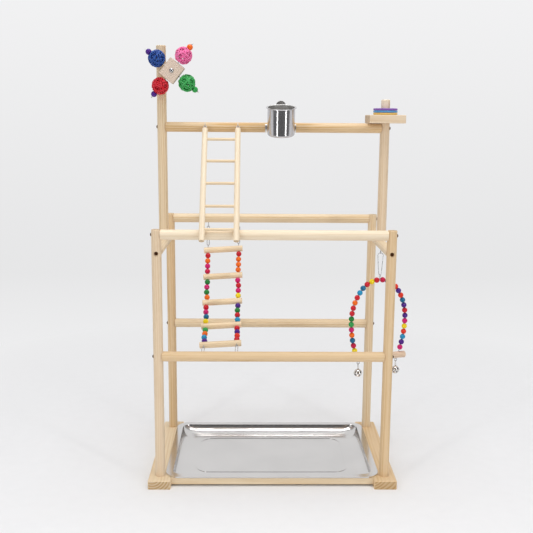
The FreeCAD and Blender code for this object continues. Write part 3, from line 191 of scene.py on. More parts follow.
def pine(name, along, centre, seed, pale=STRAW, amber=0.35, ring=0.0042):
    """Clear pine with straight grain: pale early wood between thin amber late wood.

    The number amber says how strongly the late wood shows; ring is a year's growth.
    """
    wood = Finish(name)
    chance = np.random.default_rng(seed)
    axis = Vector(along).normalized()
    side = axis.orthogonal().normalized()
    other = axis.cross(side)
    heart_turn = chance.uniform(0, math.tau)
    heart_far = chance.uniform(0.02, 0.05)
    place = wood.place_from(centre)
    run = wood.dot(place, axis)
    across = wood.dot(place, side) + heart_far * math.cos(heart_turn)
    deep = wood.dot(place, other) + heart_far * math.sin(heart_turn)
    parts = (across, deep, run)
    drift = fibres(wood, parts, fine=16, long=2.2, shift=float(chance.uniform(0, 50))) - 0.5
    rings_adrift = 3.4
    radius = (across * across + deep * deep) ** 0.5
    years = wood.reckon("FRACT", radius / ring + drift * rings_adrift)
    late = wood.ramp(years, [(0.0, (0, 0, 0)), (0.3, (0.08,) * 3), (0.82, (1, 1, 1)),
                             (0.97, (0.08,) * 3)])
    fibre = fibres(wood, parts, fine=900, long=22, detail=2.0, rough=0.6)
    broad = fibres(wood, parts, fine=60, long=4, shift=seed)
    normal = wood.node("ShaderNodeNewGeometry", out="Normal")
    end = wood.clamp(wood.reckon("ABSOLUTE", wood.dot(normal, axis)), low=0.75, high=0.95)
    strength = wood.clamp(broad, 0.38, 0.62, amber * 0.3, amber * 1.15)
    strength = strength + end * (0.95 - amber * 0.5)
    grain = wood.blend(late * strength, pale, AMBER)
    streak = tuple(0.72 * a + 0.28 * b for a, b in zip(AMBER, pale))
    streaked = wood.blend(wood.clamp(fibre, 0.3, 0.75, 0.0, 0.3), grain, streak)
    sawn_end = wood.stretch(streaked, (0.79, 0.77, 0.74))
    relief = fibre * 0.7 + late * 0.3
    return wood.surface(Base_Color=wood.blend(end, streaked, sawn_end),
                        Roughness=wood.clamp(fibre, 0.2, 0.8, 0.44, 0.6),
                        Normal=wood.bump(relief, 0.25, 0.0004))


feet_and_rails = {
    "foot_left": ((0, 1, 0), 2, STRAW, 0.0062), "foot_right": ((0, 1, 0), 12, HONEY, 0.0068),
    "base_rail_front": ((1, 0, 0), 13, STRAW, 0.0034),
    "base_rail_rear": ((1, 0, 0), 14, STRAW, 0.0034),
}
for piece, (along, seed, tone, ring) in feet_and_rails.items():
    clad(piece, pine(f"pine_{piece}", along, middle_of(piece), seed, tone, amber=0.45,
                     ring=ring))

# ---------------------------------------------------------------- posts, perches and masts
# Turned pine dowels, about 20 mm thick. The perches and beams sink a little
# into the posts and masts, and a screw through each post holds their ends.

dowels = {
    "post_front_left": ((0, 0, 1), ROSY, 0.35), "post_front_right": ((0, 0, 1), HONEY, 0.5),
    "post_rear_left": ((0, 0, 1), HONEY, 0.6), "post_rear_right": ((0, 0, 1), STRAW, 0.5),
    "mast_left": ((0, 0, 1), STRAW, 0.6), "mast_right": ((0, 0, 1), ROSY, 0.45),
    "ring_peg": ((0, 0, 1), CREAM, 0.45),
    "perch_front_upper": ((1, 0, 0), CREAM, 0.35), "perch_front_lower": ((1, 0, 0), HONEY, 0.5),
    "perch_rear_upper": ((1, 0, 0), STRAW, 0.6), "perch_rear_lower": ((1, 0, 0), STRAW, 0.55),
    "perch_top": ((1, 0, 0), HONEY, 1.1),
    "side_beam_left": ((0, 1, 0), STRAW, 0.4), "side_beam_right": ((0, 1, 0), STRAW, 0.4),
}
for seed, (piece, (along, tone, amber)) in enumerate(dowels.items(), start=31):
    clad(piece, pine(f"pine_{piece}", along, middle_of(piece), seed, tone, amber))

# ---------------------------------------------------------------- screws and hooks
# Screw hooks, eye screws, wire links and small screws in bright zinc plate with
# a faint cloudy bloom. The wood screws that hold the frame are bronzed.


def zinc(name, tone=(0.62, 0.62, 0.64), dull=0.0):
    plate = Finish(name)
    cloud = plate.noise(plate.place(), scale=260.0, detail=3.0)
    colour = plate.blend(plate.clamp(cloud, 0.35, 0.7), tone, tuple(0.78 * c for c in tone))
    return plate.surface(Base_Color=colour, Metallic=1.0,
                         Roughness=plate.clamp(cloud, 0.3, 0.7, 0.2 + dull, 0.36 + dull),
                         Normal=plate.bump(cloud, 0.05, 0.0002))


bright_zinc = zinc("bright_zinc")
clad("frame_screws", zinc("screw_bronze", tone=(0.14, 0.065, 0.035), dull=0.2))
clad("cup_screws", bright_zinc)
for fitting in ("screw_hooks", "ladder_eyes", "bead_eyes_upper", "bead_eyes_lower",
                "bead_links_upper", "bead_links_lower", "swing_clip", "swing_wire",
                "spinner_axle", "spinner_wires"):
    clad(fitting, bright_zinc)

# ---------------------------------------------------------------- toy platform and rings
# A square of pine on the right mast, with a turned peg and three flat rings
# that are dyed through and waxed.

clad("toy_platform", pine("pine_toy_platform", (1, 0, 0.02), middle_of("toy_platform"),
                          seed=72, pale=ROSY, amber=0.5, ring=0.0035))


def dyed_ring(name, colour):
    """Dyed wood: the stain is deeper in the soft grain, under a thin coat of wax."""
    stain = Finish(name)
    grain = stain.noise(stain.stretch(stain.place(), (900, 120, 900)), scale=1.0, detail=2.0)
    shade = stain.blend(stain.clamp(grain, 0.35, 0.7), colour, tuple(0.72 * c for c in colour))
    return stain.surface(Base_Color=shade, Roughness=stain.clamp(grain, 0.3, 0.7, 0.4, 0.55),
                         Coat_Weight=0.12, Normal=stain.bump(grain, 0.12, 0.0003))


clad("ring_yellow", dyed_ring("dyed_yellow", (0.86, 0.56, 0.13)))
clad("ring_blue", dyed_ring("dyed_blue", (0.09, 0.33, 0.70)))
clad("ring_purple", dyed_ring("dyed_purple", (0.26, 0.10, 0.48)))

# ---------------------------------------------------------------- spinner
# A square plywood hub turns on a bent rod that is set in the left mast. Four
# wires stand out of its sides, each with a woven rattan ball and a wooden bead.

joints = {joint["name"]: joint for joint in frame["joints"]}


def plywood(name, normal, side, centre):
    """Sawn birch ply: a mealy face, and thin darker plies on the edges."""
    ply = Finish(name)
    two_plies = 0.003
    inner_plies = 0.0088
    place = ply.place_from(centre)
    layer = ply.dot(place, normal)
    parts = (ply.dot(place, normal.cross(side)), layer, ply.dot(place, side))
    grain = fibres(ply, parts, fine=500, long=70, detail=3.0)
    dark_ply = ply.reckon("GREATER_THAN", ply.reckon("FRACT", layer / two_plies), 0.55)
    inside = ply.reckon("LESS_THAN", ply.reckon("ABSOLUTE", layer), inner_plies)
    face = ply.blend(ply.clamp(grain, 0.3, 0.7), (0.73, 0.60, 0.49), (0.64, 0.50, 0.39))
    colour = ply.blend(dark_ply * inside * 0.5, face, (0.45, 0.31, 0.21))
    return ply.surface(Base_Color=colour, Roughness=0.62, Normal=ply.bump(grain, 0.15, 0.0004))


hub_point = Vector(joints["spinner_turn"]["pos_m"])
hub_normal = Vector(joints["spinner_turn"]["axis"])
arm_side = Vector(joints["ball_pink_roll"]["axis"])
clad("spinner_hub", plywood("plywood_hub", hub_normal, arm_side, hub_point))


def node_group(name, inputs):
    """An empty Geometry Nodes tree with named inputs: (name, socket type, default)."""
    tree = bpy.data.node_groups.new(name, "GeometryNodeTree")
    tree.interface.new_socket("Geometry", in_out="INPUT", socket_type="NodeSocketGeometry")
    for label, kind, value in inputs:
        socket = tree.interface.new_socket(label, in_out="INPUT", socket_type=kind)
        if value is not None:
            socket.default_value = value
    tree.interface.new_socket("Geometry", in_out="OUTPUT", socket_type="NodeSocketGeometry")
    return tree


class Build:
    """Adds nodes to a Geometry Nodes tree by type, settings and inputs."""

    def __init__(self, tree):
        self.tree = tree
        self.inputs = tree.nodes.new("NodeGroupInput").outputs

    def add(self, kind, settings=None, values=None, out=0):
        """Adds one node; a list of sockets goes into an input that joins them."""
        made = self.tree.nodes.new(kind)
        for key, value in (settings or {}).items():
            setattr(made, key, value)
        for key, value in (values or {}).items():
            for source in value if isinstance(value, list) else [value]:
                if isinstance(source, bpy.types.NodeSocket):
                    self.tree.links.new(source, made.inputs[key])
                else:
                    made.inputs[key].default_value = source
        return made.outputs[out]

    def times(self, value, amount):
        return self.add("ShaderNodeMath", {"operation": "MULTIPLY"}, {0: value, 1: amount})

    def round_sweep(self, thickness, sides):
        """A round wire or cane along the edges of the mesh that the tree is given."""
        path = self.add("GeometryNodeMeshToCurve", None, {"Mesh": self.inputs["Geometry"]})
        ring = self.add("GeometryNodeCurvePrimitiveCircle", None,
                        {"Resolution": sides, "Radius": self.times(thickness, 0.5)})
        return self.add("GeometryNodeCurveToMesh", None,
                        {"Curve": path, "Profile Curve": ring, "Fill Caps": True})

    def finish(self, geometry):
        """Smooth shading, then real geometry with the material on it."""
        smooth = self.add("GeometryNodeSetShadeSmooth", None, {"Geometry": geometry})
        real = self.add("GeometryNodeRealizeInstances", None, {"Geometry": smooth})
        clothed = self.add("GeometryNodeSetMaterial", None,
                           {"Geometry": real, "Material": self.inputs["Material"]})
        end = self.tree.nodes.new("NodeGroupOutput")
        self.tree.links.new(clothed, end.inputs["Geometry"])


def run_tree(name, mesh, tree, values):
    """Runs a tree on a mesh and keeps the result as a plain mesh object."""
    carrier = bpy.data.objects.new(f"{name}_carrier", mesh)
    bpy.context.scene.collection.objects.link(carrier)
    modifier = carrier.modifiers.new("tree", "NODES")
    modifier.node_group = tree
    sockets = {item.name: item.identifier for item in tree.interface.items_tree
               if item.in_out == "INPUT"}
    for label, value in values.items():
        modifier[sockets[label]] = value
    bpy.context.view_layer.update()
    depsgraph = bpy.context.evaluated_depsgraph_get()
    made = bpy.data.meshes.new_from_object(carrier.evaluated_get(depsgraph))
    made.name = name
    bpy.data.objects.remove(carrier)
    result = bpy.data.objects.new(name, made)
    bpy.context.scene.collection.objects.link(result)
    return result


def lines_mesh(name, runs, closed):
    """A mesh of vertices and edges only, one chain for each run of points."""
    mesh = bpy.data.meshes.new(name)
    points = []
    edges = []
    for run in runs:
        first = len(points)
        points += [tuple(point) for point in run]
        edges += [(first + i, first + i + 1) for i in range(len(run) - 1)]
        if closed:
            edges.append((len(points) - 1, first))
    mesh.from_pydata(points, edges, [])
    return mesh


def cane_tree():
    """Sweeps a round cane along the edges of a mesh."""
    tree = node_group("swept_cane", [("Thickness", "NodeSocketFloat", 0.0015),
                                     ("Sides", "NodeSocketInt", 6),
                                     ("Material", "NodeSocketMaterial", None)])
    build = Build(tree)
    build.finish(build.round_sweep(build.inputs["Thickness"], build.inputs["Sides"]))
    return tree


ball_radius = 0.0186
cane = 0.0020
cane_step = 0.0023
cane_lift = 0.0007
cane_layer = 0.0032
cane_lean = 0.12
cane_wander = 0.0010
cane_points = 60
bead_room = 0.35
swept_cane = cane_tree()
golden_tilt = math.atan(2)
band_axes = [Vector((0, 0, 1))]
for fifth in range(5):
    band_axes.append(Matrix.Rotation(math.tau * fifth / 5, 3, "Z")
                     @ Matrix.Rotation(golden_tilt, 3, "Y") @ Vector((0, 0, 1)))
bands = len(band_axes)


def band_frame(number):
    """Two directions in a band's plane, the first towards a crossing with another band."""
    axis = band_axes[number]
    first = axis.cross(band_axes[(number + 1) % bands]).normalized()
    return axis, first, axis.cross(first)


def over_or_under(number, direction):
    """Whether a band's wave is up or down where another band crosses it."""
    axis, first, second = band_frame(number)
    angle = math.atan2(direction.dot(second), direction.dot(first))
    return math.copysign(1, math.cos(5 * angle))


def alternating_signs():
    """Chooses each band's sign so that one goes over wherever another goes under."""
    crossings = [(a, b, band_axes[a].cross(band_axes[b]).normalized())
                 for a, b in itertools.combinations(range(bands), 2)]
    for code in range(2 ** bands):
        signs = [1 if code >> number & 1 else -1 for number in range(bands)]
        if all(signs[a] * over_or_under(a, meet) != signs[b] * over_or_under(b, meet)
               for a, b, meet in crossings):
            return signs


band_signs = alternating_signs()


def round_the_wire(point):
    """Bends a cane round the place where the arm's wire and bead meet the ball."""
    far = point.length
    away = math.acos(abs(point.z) / far)
    bent = (away ** 4 + bead_room ** 4) ** 0.25
    wide = far * math.sin(bent) / math.hypot(point.x, point.y)
    return Vector((point.x * wide, point.y * wide,
                   math.copysign(far * math.cos(bent), point.z)))


def woven_loops(seed):
    """Two layers of six bands, each of three canes, which cross over and under."""
    chance = np.random.default_rng(seed)
    loops = []
    for layer, number in itertools.product((0, 1), range(bands)):
        axis, first, second = band_frame(number)
        inward = Matrix.Rotation(layer * math.pi / 5, 3, "Z")
        for lane in (-1, 0, 1):
            lean = Matrix.Rotation(chance.normal(0, cane_lean), 3, first)
            lean = lean @ Matrix.Rotation(chance.normal(0, cane_lean), 3, second)
            wobble = chance.uniform(0, math.tau)
            loop = []
            for step in range(cane_points):
                angle = math.tau * step / cane_points
                level = ball_radius - cane / 2 - cane_lift - cane_layer * layer
                level += band_signs[number] * cane_lift * math.cos(5 * angle)
                offset = lane * cane_step + cane_wander * math.sin(2 * angle + wobble)
                flat = math.sqrt(level ** 2 - offset ** 2)
                point = flat * (math.cos(angle) * first + math.sin(angle) * second)
                loop.append(round_the_wire(inward @ (lean @ (point + offset * axis))))
            loops.append(loop)
    return loops


def rattan(name, colour):
    """Dyed cane: streaks along the fibre, with paler patches painted in as highlights."""
    skin = Finish(name)
    streak = skin.noise(skin.place(), scale=900.0, detail=3.0)
    painted_highlight_patch = skin.noise(skin.place(), scale=160.0, detail=1.0)
    # the paler tone, laid on in patches, is a painted highlight on the shiny cane
    pale = tuple(0.7 * c + 0.3 * math.sqrt(c) for c in colour)
    shade = skin.blend(skin.clamp(painted_highlight_patch, 0.4, 0.7), colour, pale)
    shade = skin.blend(skin.clamp(streak, 0.45, 0.8), shade, tuple(0.72 * c for c in colour))
    return skin.surface(Base_Color=shade, Roughness=0.42, Specular_IOR_Level=0.5,
                        Normal=skin.bump(streak, 0.25, 0.0004))


ball_dyes = {"blue": (0.006, 0.062, 0.34), "pink": (0.95, 0.17, 0.43),
             "green": (0.035, 0.42, 0.085), "red": (0.70, 0.006, 0.02)}
for seed, (colour, dye) in enumerate(ball_dyes.items(), start=80):
    joint = joints[f"ball_{colour}_roll"]
    turn = Vector(joint["axis"]).to_track_quat("Z", "Y").to_matrix()
    centre = Vector(joint["pos_m"])
    loops = [[centre + turn @ point for point in loop] for loop in woven_loops(seed)]
    ball = run_tree(f"woven_ball_{colour}", lines_mesh("canes", loops, True), swept_cane,
                    {"Thickness": cane, "Sides": 6,
                     "Material": rattan(f"rattan_{colour}", dye)})
    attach(ball, f"ball_{colour}")
    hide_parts(f"rattan_ball_{colour}")

# ---------------------------------------------------------------- wooden beads
# Round wooden beads, dyed in strong colours and lightly waxed, with a bored
# hole that the string or wire runs through.

DYES = {"red": (0.62, 0.008, 0.022), "crimson": (0.60, 0.005, 0.06),
        "orange": (0.90, 0.155, 0.006), "magenta": (0.68, 0.005, 0.16),
        "dark_green": (0.012, 0.22, 0.035), "green": (0.03, 0.36, 0.075),
        "blue": (0.005, 0.15, 0.31), "light_blue": (0.015, 0.30, 0.56),
        "yellow": (0.93, 0.70, 0.006), "purple": (0.075, 0.012, 0.25),
        "scarlet": (0.80, 0.035, 0.012)}


def bead_tree():
    """Puts a bored bead on each point, turned along the thread, and the thread on each edge."""
    tree = node_group("threaded_beads", [("Diameter", "NodeSocketFloat", 0.0124),
                                         ("Thread", "NodeSocketFloat", 0.0018),
                                         ("Material", "NodeSocketMaterial", None)])
    build = Build(tree)
    radius = build.times(build.inputs["Diameter"], 0.5)
    ball = build.add("GeometryNodeMeshUVSphere", None,
                     {"Segments": 24, "Rings": 14, "Radius": radius})
    place = build.add("GeometryNodeInputPosition")
    up = build.add("ShaderNodeSeparateXYZ", None, {0: place}, out="Z")
    height = build.add("ShaderNodeMath", {"operation": "ABSOLUTE"}, {0: up})
    pole = build.add("FunctionNodeCompare", {"data_type": "FLOAT", "operation": "GREATER_THAN"},
                     {0: height, 1: build.times(radius, 0.995)})
    sunk = build.add("ShaderNodeVectorMath", {"operation": "SCALE"},
                     {"Vector": place, "Scale": 0.45})
    bored = build.add("GeometryNodeSetPosition", None,
                      {"Geometry": ball, "Selection": pole, "Position": sunk})
    along = build.add("GeometryNodeInputNamedAttribute", {"data_type": "FLOAT_VECTOR"},
                      {"Name": "thread_way"})
    turn = build.add("FunctionNodeAlignRotationToVector", {"axis": "Z"}, {"Vector": along})
    carried = build.add("GeometryNodeInputNamedAttribute", {"data_type": "BOOLEAN"},
                        {"Name": "has_bead"})
    beads = build.add("GeometryNodeInstanceOnPoints", None,
                      {"Points": build.inputs["Geometry"], "Selection": carried,
                       "Instance": bored, "Rotation": turn})
    thread = build.round_sweep(build.inputs["Thread"], 8)
    build.finish(build.add("GeometryNodeJoinGeometry", None, {"Geometry": [beads, thread]}))
    return tree


threaded_beads = bead_tree()


def dyed_beads():
    """The beads' finish reads each bead's dye from its own attribute."""
    stain = Finish("dyed_beads")
    dye = stain.node("ShaderNodeAttribute", {"attribute_name": "dye"}, out="Color")
    grain = stain.noise(stain.stretch(stain.place(), (500, 500, 900)), scale=1.0, detail=2.0)
    deep = stain.stretch(dye, (0.62,) * 3)
    shade = stain.blend(stain.clamp(grain, 0.45, 0.8), dye, deep)
    return stain.surface(Base_Color=shade, Roughness=stain.clamp(grain, 0.3, 0.7, 0.34, 0.46),
                         Coat_Weight=0.1, Specular_IOR_Level=0.3,
                         Normal=stain.bump(grain, 0.08, 0.0003))


bead_finish = dyed_beads()
thread_colour = (0.75, 0.73, 0.68)


def string_of_beads(name, threads, body, node, thickness, bead_diameter):
    """Makes one body's beads and threads. A thread is a list of (point, way, dye or None)."""
    mesh = lines_mesh(name, [[knot[0] for knot in thread] for thread in threads], False)
    knots = [knot for thread in threads for knot in thread]
    dyes = [(*(DYES[knot[2]] if knot[2] else thread_colour), 1.0) for knot in knots]
    ways = [tuple(knot[1]) for knot in knots]
    colour = mesh.attributes.new("dye", "FLOAT_COLOR", "POINT")
    colour.data.foreach_set("color", np.array(dyes, np.float32).ravel())
    way = mesh.attributes.new("thread_way", "FLOAT_VECTOR", "POINT")
    way.data.foreach_set("vector", np.array(ways, np.float32).ravel())
    carried = mesh.attributes.new("has_bead", "BOOLEAN", "POINT")
    carried.data.foreach_set("value", [bool(knot[2]) for knot in knots])
    piece = run_tree(name, mesh, threaded_beads,
                     {"Diameter": bead_diameter, "Thread": thickness, "Material": bead_finish})
    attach(piece, body)
    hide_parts(node)


def lone_bead(point, way, dye):
    """One bead with a short piece of thread, whose ends stay inside its hole."""
    reach = way * 0.0055
    return [(point - reach, way, None), (point, way, dye), (point + reach, way, None)]


bead_from_hub = 0.0611
arm_beads = []
for ball_colour, dye in (("pink", "orange"), ("blue", "purple"), ("red", "purple"),
                         ("green", "green")):
    way = Vector(joints[f"ball_{ball_colour}_roll"]["axis"])
    arm_beads.append(lone_bead(hub_point + way * bead_from_hub, way, dye))
string_of_beads("arm_beads", arm_beads, "spinner", "spinner_beads",
                thickness=0.0022, bead_diameter=0.0128)

# ---------------------------------------------------------------- cup and its holder
# A drawn stainless cup with a rolled rim. A strap on its back slides over the
# tongue of a bent plate that two screws hold to the front of the top perch.


def steel(name, way, tone, dull):
    """Polished sheet with faint lines from the last polishing pass."""
    sheet = Finish(name)
    lines = sheet.noise(sheet.stretch(sheet.place(), way), scale=1.0, detail=2.0)
    cloud = sheet.noise(sheet.place(), scale=9.0, detail=2.0)
    colour = sheet.blend(sheet.clamp(cloud, 0.35, 0.7), tone, tuple(0.95 * c for c in tone))
    rough = sheet.clamp(cloud, 0.3, 0.7, dull, dull + 0.04)
    return sheet.surface(Base_Color=colour, Metallic=1.0, Roughness=rough,
                         Normal=sheet.bump(lines, 0.03, 0.0002))


def inner_side(sheet, centre, depth, axes=(1, 1, 1)):
    """1 where a thin wall faces in to its centre, and 0 where it faces out."""
    outward = sheet.stretch(sheet.place_from(centre), axes)
    normal = sheet.node("ShaderNodeNewGeometry", out="Normal")
    return sheet.clamp(sheet.dot(outward, normal), 0.0, -depth)


def satin_inside(name, axis):
    """Polished outside and brushed inside, told apart by the side that faces the axis."""
    sheet = Finish(name)
    lines = sheet.noise(sheet.stretch(sheet.place(), (900, 900, 40)), scale=1.0, detail=2.0)
    cloud = sheet.noise(sheet.place(), scale=18.0, detail=2.0)
    inner = inner_side(sheet, axis, depth=0.012, axes=(1, 1, 0))
    colour = sheet.blend(inner, (0.58, 0.57, 0.585), (0.70, 0.69, 0.67))
    return sheet.surface(Base_Color=colour, Metallic=0.94,
                         Roughness=sheet.clamp(cloud, 0.3, 0.7, 0.13, 0.19) + inner * 0.26,
                         Normal=sheet.bump(lines, 0.03, 0.0002))


rim_radius = 0.032
cup_low, cup_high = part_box("cup")
cup_axis = Vector(((cup_low.x + cup_high.x) / 2, cup_low.y + rim_radius, 0))
clad("cup", satin_inside("cup_steel", cup_axis))
clad("cup_holder", steel("holder_steel", (900, 900, 40), tone=(0.66, 0.65, 0.64), dull=0.3))

# ---------------------------------------------------------------- tray
# A pressed stainless tray that hangs by its rim between the feet, with sloped
# walls, round corners and a shallow raised line round its floor.

clad("tray", steel("tray_steel", (60, 1400, 60), tone=(0.70, 0.685, 0.675), dull=0.15))

# ---------------------------------------------------------------- rigid ladder
# Two pine dowels with five thin rungs. Eye screws in its upper ends hang on
# hooks in the top perch, and it leans on the upper front perch.

ladder_hooks = Vector(joints["ladder_swing"]["pos_m"])
rail_way = (middle_of("ladder_rail_left") - ladder_hooks) * Vector((0, 1, 1))
for seed, rail in enumerate(("ladder_rail_left", "ladder_rail_right"), start=91):
    clad(rail, pine(f"pine_{rail}", rail_way, middle_of(rail), seed, CREAM, amber=0.25,
                    ring=0.0035))
clad("ladder_rungs", pine("pine_rungs", (1, 0, 0), middle_of("ladder_rungs"),
                          seed=95, pale=STRAW, amber=0.4, ring=0.003))

# ---------------------------------------------------------------- bead ladder
# Five short dowels on two strings of dyed beads make a limp bridge. Wire links
# hold it to hooks in the rear upper and the front lower perch.

BUFF = (0.86, 0.69, 0.47)
for number in range(1, 6):
    rung = f"bead_rung_{number}"
    clad(rung, pine(f"pine_{rung}", (1, 0, 0.06), middle_of(rung), seed=100 + number,
                    pale=BUFF, amber=0.3, ring=0.0038))

rope_dyes = {
    1: (("red", "orange", "magenta", "crimson"), ("red", "orange", "orange", "orange")),
    2: (("dark_green", "magenta", "dark_green", "orange"),
        ("magenta", "red", "magenta", "yellow")),
    3: (("red", "magenta", "blue", "yellow"), ("purple", "dark_green", "red", "light_blue")),
    4: (("green", "orange", "light_blue", "purple"), ("red", "purple", "scarlet", "red")),
}
rung_diameter = 0.014
string_half = 0.036
string_slack = 0.0009
string_start = 0.001
string_end = 0.0004
slack = np.random.default_rng(6)
rung_tilt = math.radians(3.5)
rung_side = Vector((math.cos(rung_tilt), 0, math.sin(rung_tilt)))
for number, sides in rope_dyes.items():
    start = middle_of(f"bead_rung_{number}")
    end = middle_of(f"bead_rung_{number + 1}")
    way = (end - start).normalized()
    gap = (end - start).length - rung_diameter
    threads = []
    for side, dyes in zip((-1, 1), sides):
        top = start + rung_side * string_half * side
        thread = [(top + way * string_start, way, None)]
        for count, dye in enumerate(dyes):
            place = top + way * (rung_diameter / 2 + gap * (count + 0.5) / len(dyes))
            place += rung_side * slack.uniform(-1, 1) * string_slack
            thread.append((place, way, dye))
        thread.append((top + way * (gap + rung_diameter / 2 - string_end), way, None))
        threads.append(thread)
    string_of_beads(f"rope_beads_{number}", threads, f"rope_section_{number}",
                    f"bead_row_{number}", thickness=0.0018, bead_diameter=0.0127)

# ---------------------------------------------------------------- swing
# A bent wire arch with sixteen beads on each side stands on a pine perch. A
# sprung wire clip hangs it from an eye under the right side beam.

TAWNY = (0.74, 0.57, 0.44)
swing_turn = Matrix.Rotation(math.radians(16), 3, "Z")
clad("swing_perch", pine("pine_swing_perch", swing_turn @ Vector((1, 0, 0)),
                         middle_of("swing_perch"), seed=121, pale=TAWNY, amber=0.35))

swing_pivot = Vector(joints["swing_swivel"]["pos_m"])
crown_radius = 0.054
arch_half = 0.066
shoulder = 0.0915
side_radius = ((arch_half ** 2 + shoulder ** 2 - 2 * shoulder * crown_radius)
               / (2 * (arch_half - crown_radius)))
crown_turn = math.asin((side_radius - arch_half) / (side_radius - crown_radius))
arch_height = 0.178
perch_radius = 0.0075
arch_foot_half = 0.053
lower_drop = arch_height - shoulder - perch_radius
lower_inset = arch_half - arch_foot_half
lower_radius = (lower_drop ** 2 + lower_inset ** 2) / (2 * lower_inset)
crown_drop = 0.0112


def along_arch(distance):
    """The place and the heading on the right half of the arch, so far from its crown."""
    point = Vector((0, 0, -crown_drop))
    heading = 0.0
    for radius, turn in ((crown_radius, crown_turn), (side_radius, math.pi / 2 - crown_turn),
                         (lower_radius, 1.0)):
        part = min(distance / radius, turn)
        centre = point + radius * Vector((-math.sin(heading), 0, -math.cos(heading)))
        heading += part
        point = centre + radius * Vector((math.sin(heading), 0, math.cos(heading)))
        distance -= part * radius
        if distance <= 1e-9:
            break
    return point, Vector((math.cos(heading), 0, -math.sin(heading)))


arch_dyes = {
    -1: ("red", "yellow", "red", "blue", "light_blue", "red", "orange", "red", "red",
         "dark_green", "green", "magenta", "orange", "blue", "crimson", "yellow"),
    1: ("crimson", "purple", "red", "scarlet", "purple", "scarlet", "blue", "purple", "red",
        "purple", "magenta", "yellow", "scarlet", "light_blue", "purple", "magenta"),
}
first_bead = 0.0071
bead_step = 0.0125
arch_threads = []
for side, dyes in arch_dyes.items():
    for count, dye in enumerate(dyes):
        point, way = along_arch(first_bead + bead_step * count)
        point.x *= side
        way.x *= side
        arch_threads.append(lone_bead(swing_pivot + swing_turn @ point, swing_turn @ way, dye))
string_of_beads("arch_beads", arch_threads, "swing", "swing_beads",
                thickness=0.0016, bead_diameter=0.0124)

# ---------------------------------------------------------------- bells
# Two pressed bells in bright nickel plate, with crossed slits below and a
# loose pellet inside.


def nickel(name, centre):
    """Bright plate outside; the inner side, which only the slits show, is rougher and painted
    near black as painted shade.
    """
    plate = Finish(name)
    cloud = plate.noise(plate.place(), scale=260.0, detail=3.0)
    inner = inner_side(plate, centre, depth=0.003)
    bright = plate.blend(cloud, (0.80, 0.77, 0.74), (0.68, 0.65, 0.62))
    rough = plate.clamp(cloud, 0.3, 0.7, 0.06, 0.14) + inner * 0.4
    # the near-black inner colour is painted shade inside the bell
    return plate.surface(Base_Color=plate.blend(inner, bright, (0.05, 0.045, 0.04)),
                         Metallic=1.0, Roughness=rough, Normal=plate.bump(cloud, 0.04, 0.0002))


for bell in ("bell_left", "bell_right"):
    low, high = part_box(bell)
    centre = (low + high) / 2
    centre.z = low.z + (high.x - low.x) / 2
    clad(bell, nickel(f"{bell}_nickel", centre))

# ---------------------------------------------------------------- floor and backdrop
# A seamless pale sweep: the floor curves up into the wall behind the stand. Near
# the stand it takes the light; further off, camera and glossy rays see a painted glow, as
# painted light falloff.


def sweep_mesh():
    """A floor from front to back, a quarter round and a wall, drawn out sideways."""
    front, back, radius, top, half_width, steps = -0.9, 2.2, 1.2, 7.0, 8.0, 24
    profile = [(front, 0.0), (back, 0.0)]
    for step in range(1, steps + 1):
        angle = math.pi / 2 * step / steps
        profile.append((back + radius * math.sin(angle), radius * (1 - math.cos(angle))))
    profile.append((back + radius, top))
    points = [(x, y, z) for y, z in profile for x in (-half_width, half_width)]
    faces = [(2 * i, 2 * i + 1, 2 * i + 3, 2 * i + 2) for i in range(len(profile) - 1)]
    mesh = bpy.data.meshes.new("sweep")
    mesh.from_pydata(points, [], faces)
    mesh.shade_smooth()
    return mesh


paper = Finish("paper")
weave = paper.noise(paper.place(), scale=40.0, detail=2.0)
lit = paper.node("ShaderNodeBsdfPrincipled", None,
                 {"Base Color": paper.blend(weave, (0.84, 0.84, 0.845), (0.81, 0.81, 0.815)),
                  "Roughness": 0.9}, out="BSDF")
sideways, backwards, upwards = paper.split(paper.place())
distance = (sideways * sideways + backwards * backwards) ** 0.5
away = paper.clamp(distance, 0.6, 1.3)
seen = paper.node("ShaderNodeLightPath", out="Is Camera Ray")
seen = seen + paper.node("ShaderNodeLightPath", out="Is Glossy Ray")
# painted light: the glow is darkest where the floor meets the wall behind, brighter high up and
# towards the front
painted_backdrop_light = paper.clamp(upwards, 0.0, 1.5, 0.795, 0.885)
painted_backdrop_light = painted_backdrop_light + paper.clamp(backwards, 0.0, 2.2, 0.09, 0.0)
glow = paper.node("ShaderNodeEmission", None,
                  {"Color": paper.blend(painted_backdrop_light, (0, 0, 0), (1, 1, 1.008)), "Strength": 1.0})
both = paper.node("ShaderNodeMixShader", None, {0: seen * away, 1: lit, 2: glow})
paper.node("ShaderNodeOutputMaterial", None, {"Surface": both})
sweep = bpy.data.objects.new("sweep", sweep_mesh())
sweep.data.materials.append(paper.owner)
bpy.context.scene.collection.objects.link(sweep)

# ---------------------------------------------------------------- light
# A wide soft light overhead, a tall soft light on each side of the camera, and
# an even pale surround; the room behind the camera is dark, as the steel shows.


def soft_light(name, place, aim, width, height, power):
    lamp = bpy.data.lights.new(name, "AREA")
    lamp.shape = "RECTANGLE"
    lamp.size = width
    lamp.size_y = height
    lamp.energy = power
    holder = bpy.data.objects.new(name, lamp)
    holder.location = place
    holder.rotation_mode = "QUATERNION"
    holder.rotation_quaternion = (Vector(aim) - Vector(place)).to_track_quat("-Z", "Y")
    bpy.context.scene.collection.objects.link(holder)


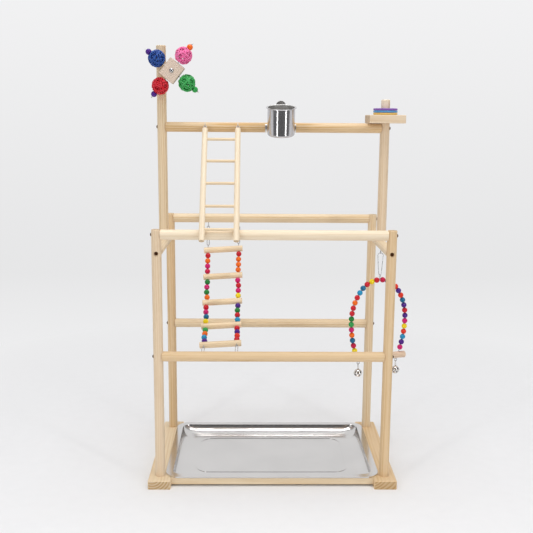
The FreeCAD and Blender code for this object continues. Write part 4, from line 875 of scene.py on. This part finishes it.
soft_light("overhead", (0.0, -0.3, 3.2), (0, 0.1, 0), width=2.4, height=2.4, power=60)
for name, place in (("strip_left", (-1.35, -1.95, 0.8)), ("strip_right", (1.5, -1.85, 0.8))):
    soft_light(name, place, (0, 0, 0.6), width=0.16, height=2.6, power=12)

world = bpy.data.worlds.new("surround")
bpy.context.scene.world = world
sky = Finish(world)
towards = sky.node("ShaderNodeTexCoord", out="Generated")
_, ahead, rise = sky.split(towards)
room = sky.ramp(ahead * 0.5 + 0.5, [(0.0, (0.10,) * 3), (0.46, (0.12,) * 3),
                                    (0.60, (0.38,) * 3), (0.74, (0.9,) * 3)])
ceiling = sky.blend(sky.clamp(rise, 0.35, 0.95), room, (0.45, 0.45, 0.46))
camera_ray = sky.node("ShaderNodeLightPath", out="Is Camera Ray")
glossy_ray = sky.node("ShaderNodeLightPath", out="Is Glossy Ray")
plain = sky.blend(glossy_ray, (0.50, 0.50, 0.51), ceiling)
seen_room = sky.ramp(rise * 0.5 + 0.5, [(0.32, (0.875,) * 3), (0.47, (0.835,) * 3),
                                        (0.62, (0.885,) * 3)])
shown = sky.blend(camera_ray, plain, seen_room)
background = sky.node("ShaderNodeBackground", None, {"Color": shown, "Strength": 1.0})
sky.node("ShaderNodeOutputWorld", None, {"Surface": background})

# ---------------------------------------------------------------- camera
# Eye level a little above the top perch, about 1.75 m in front of the stand.

camera = bpy.data.objects.new("camera", bpy.data.cameras.new("camera"))
camera.data.sensor_width = 36
camera.data.lens = 54.09
camera.data.clip_start = 0.05
camera.location = (-0.0423, -1.7551, 0.7755)
pitch = math.radians(10.503)
yaw = math.radians(0.941)
roll = math.radians(0.416)
forward = Vector((math.sin(yaw) * math.cos(pitch), math.cos(yaw) * math.cos(pitch),
                  -math.sin(pitch)))
right = Vector((math.cos(yaw), -math.sin(yaw), 0))
up = right.cross(forward)
rolled_right = right * math.cos(roll) + up * math.sin(roll)
rolled_up = up * math.cos(roll) - right * math.sin(roll)
camera.rotation_mode = "QUATERNION"
facing = Matrix((rolled_right, rolled_up, -forward)).transposed()
camera.rotation_quaternion = facing.to_quaternion()
bpy.context.scene.collection.objects.link(camera)
bpy.context.scene.camera = camera
bpy.context.scene.view_settings.view_transform = "Standard"
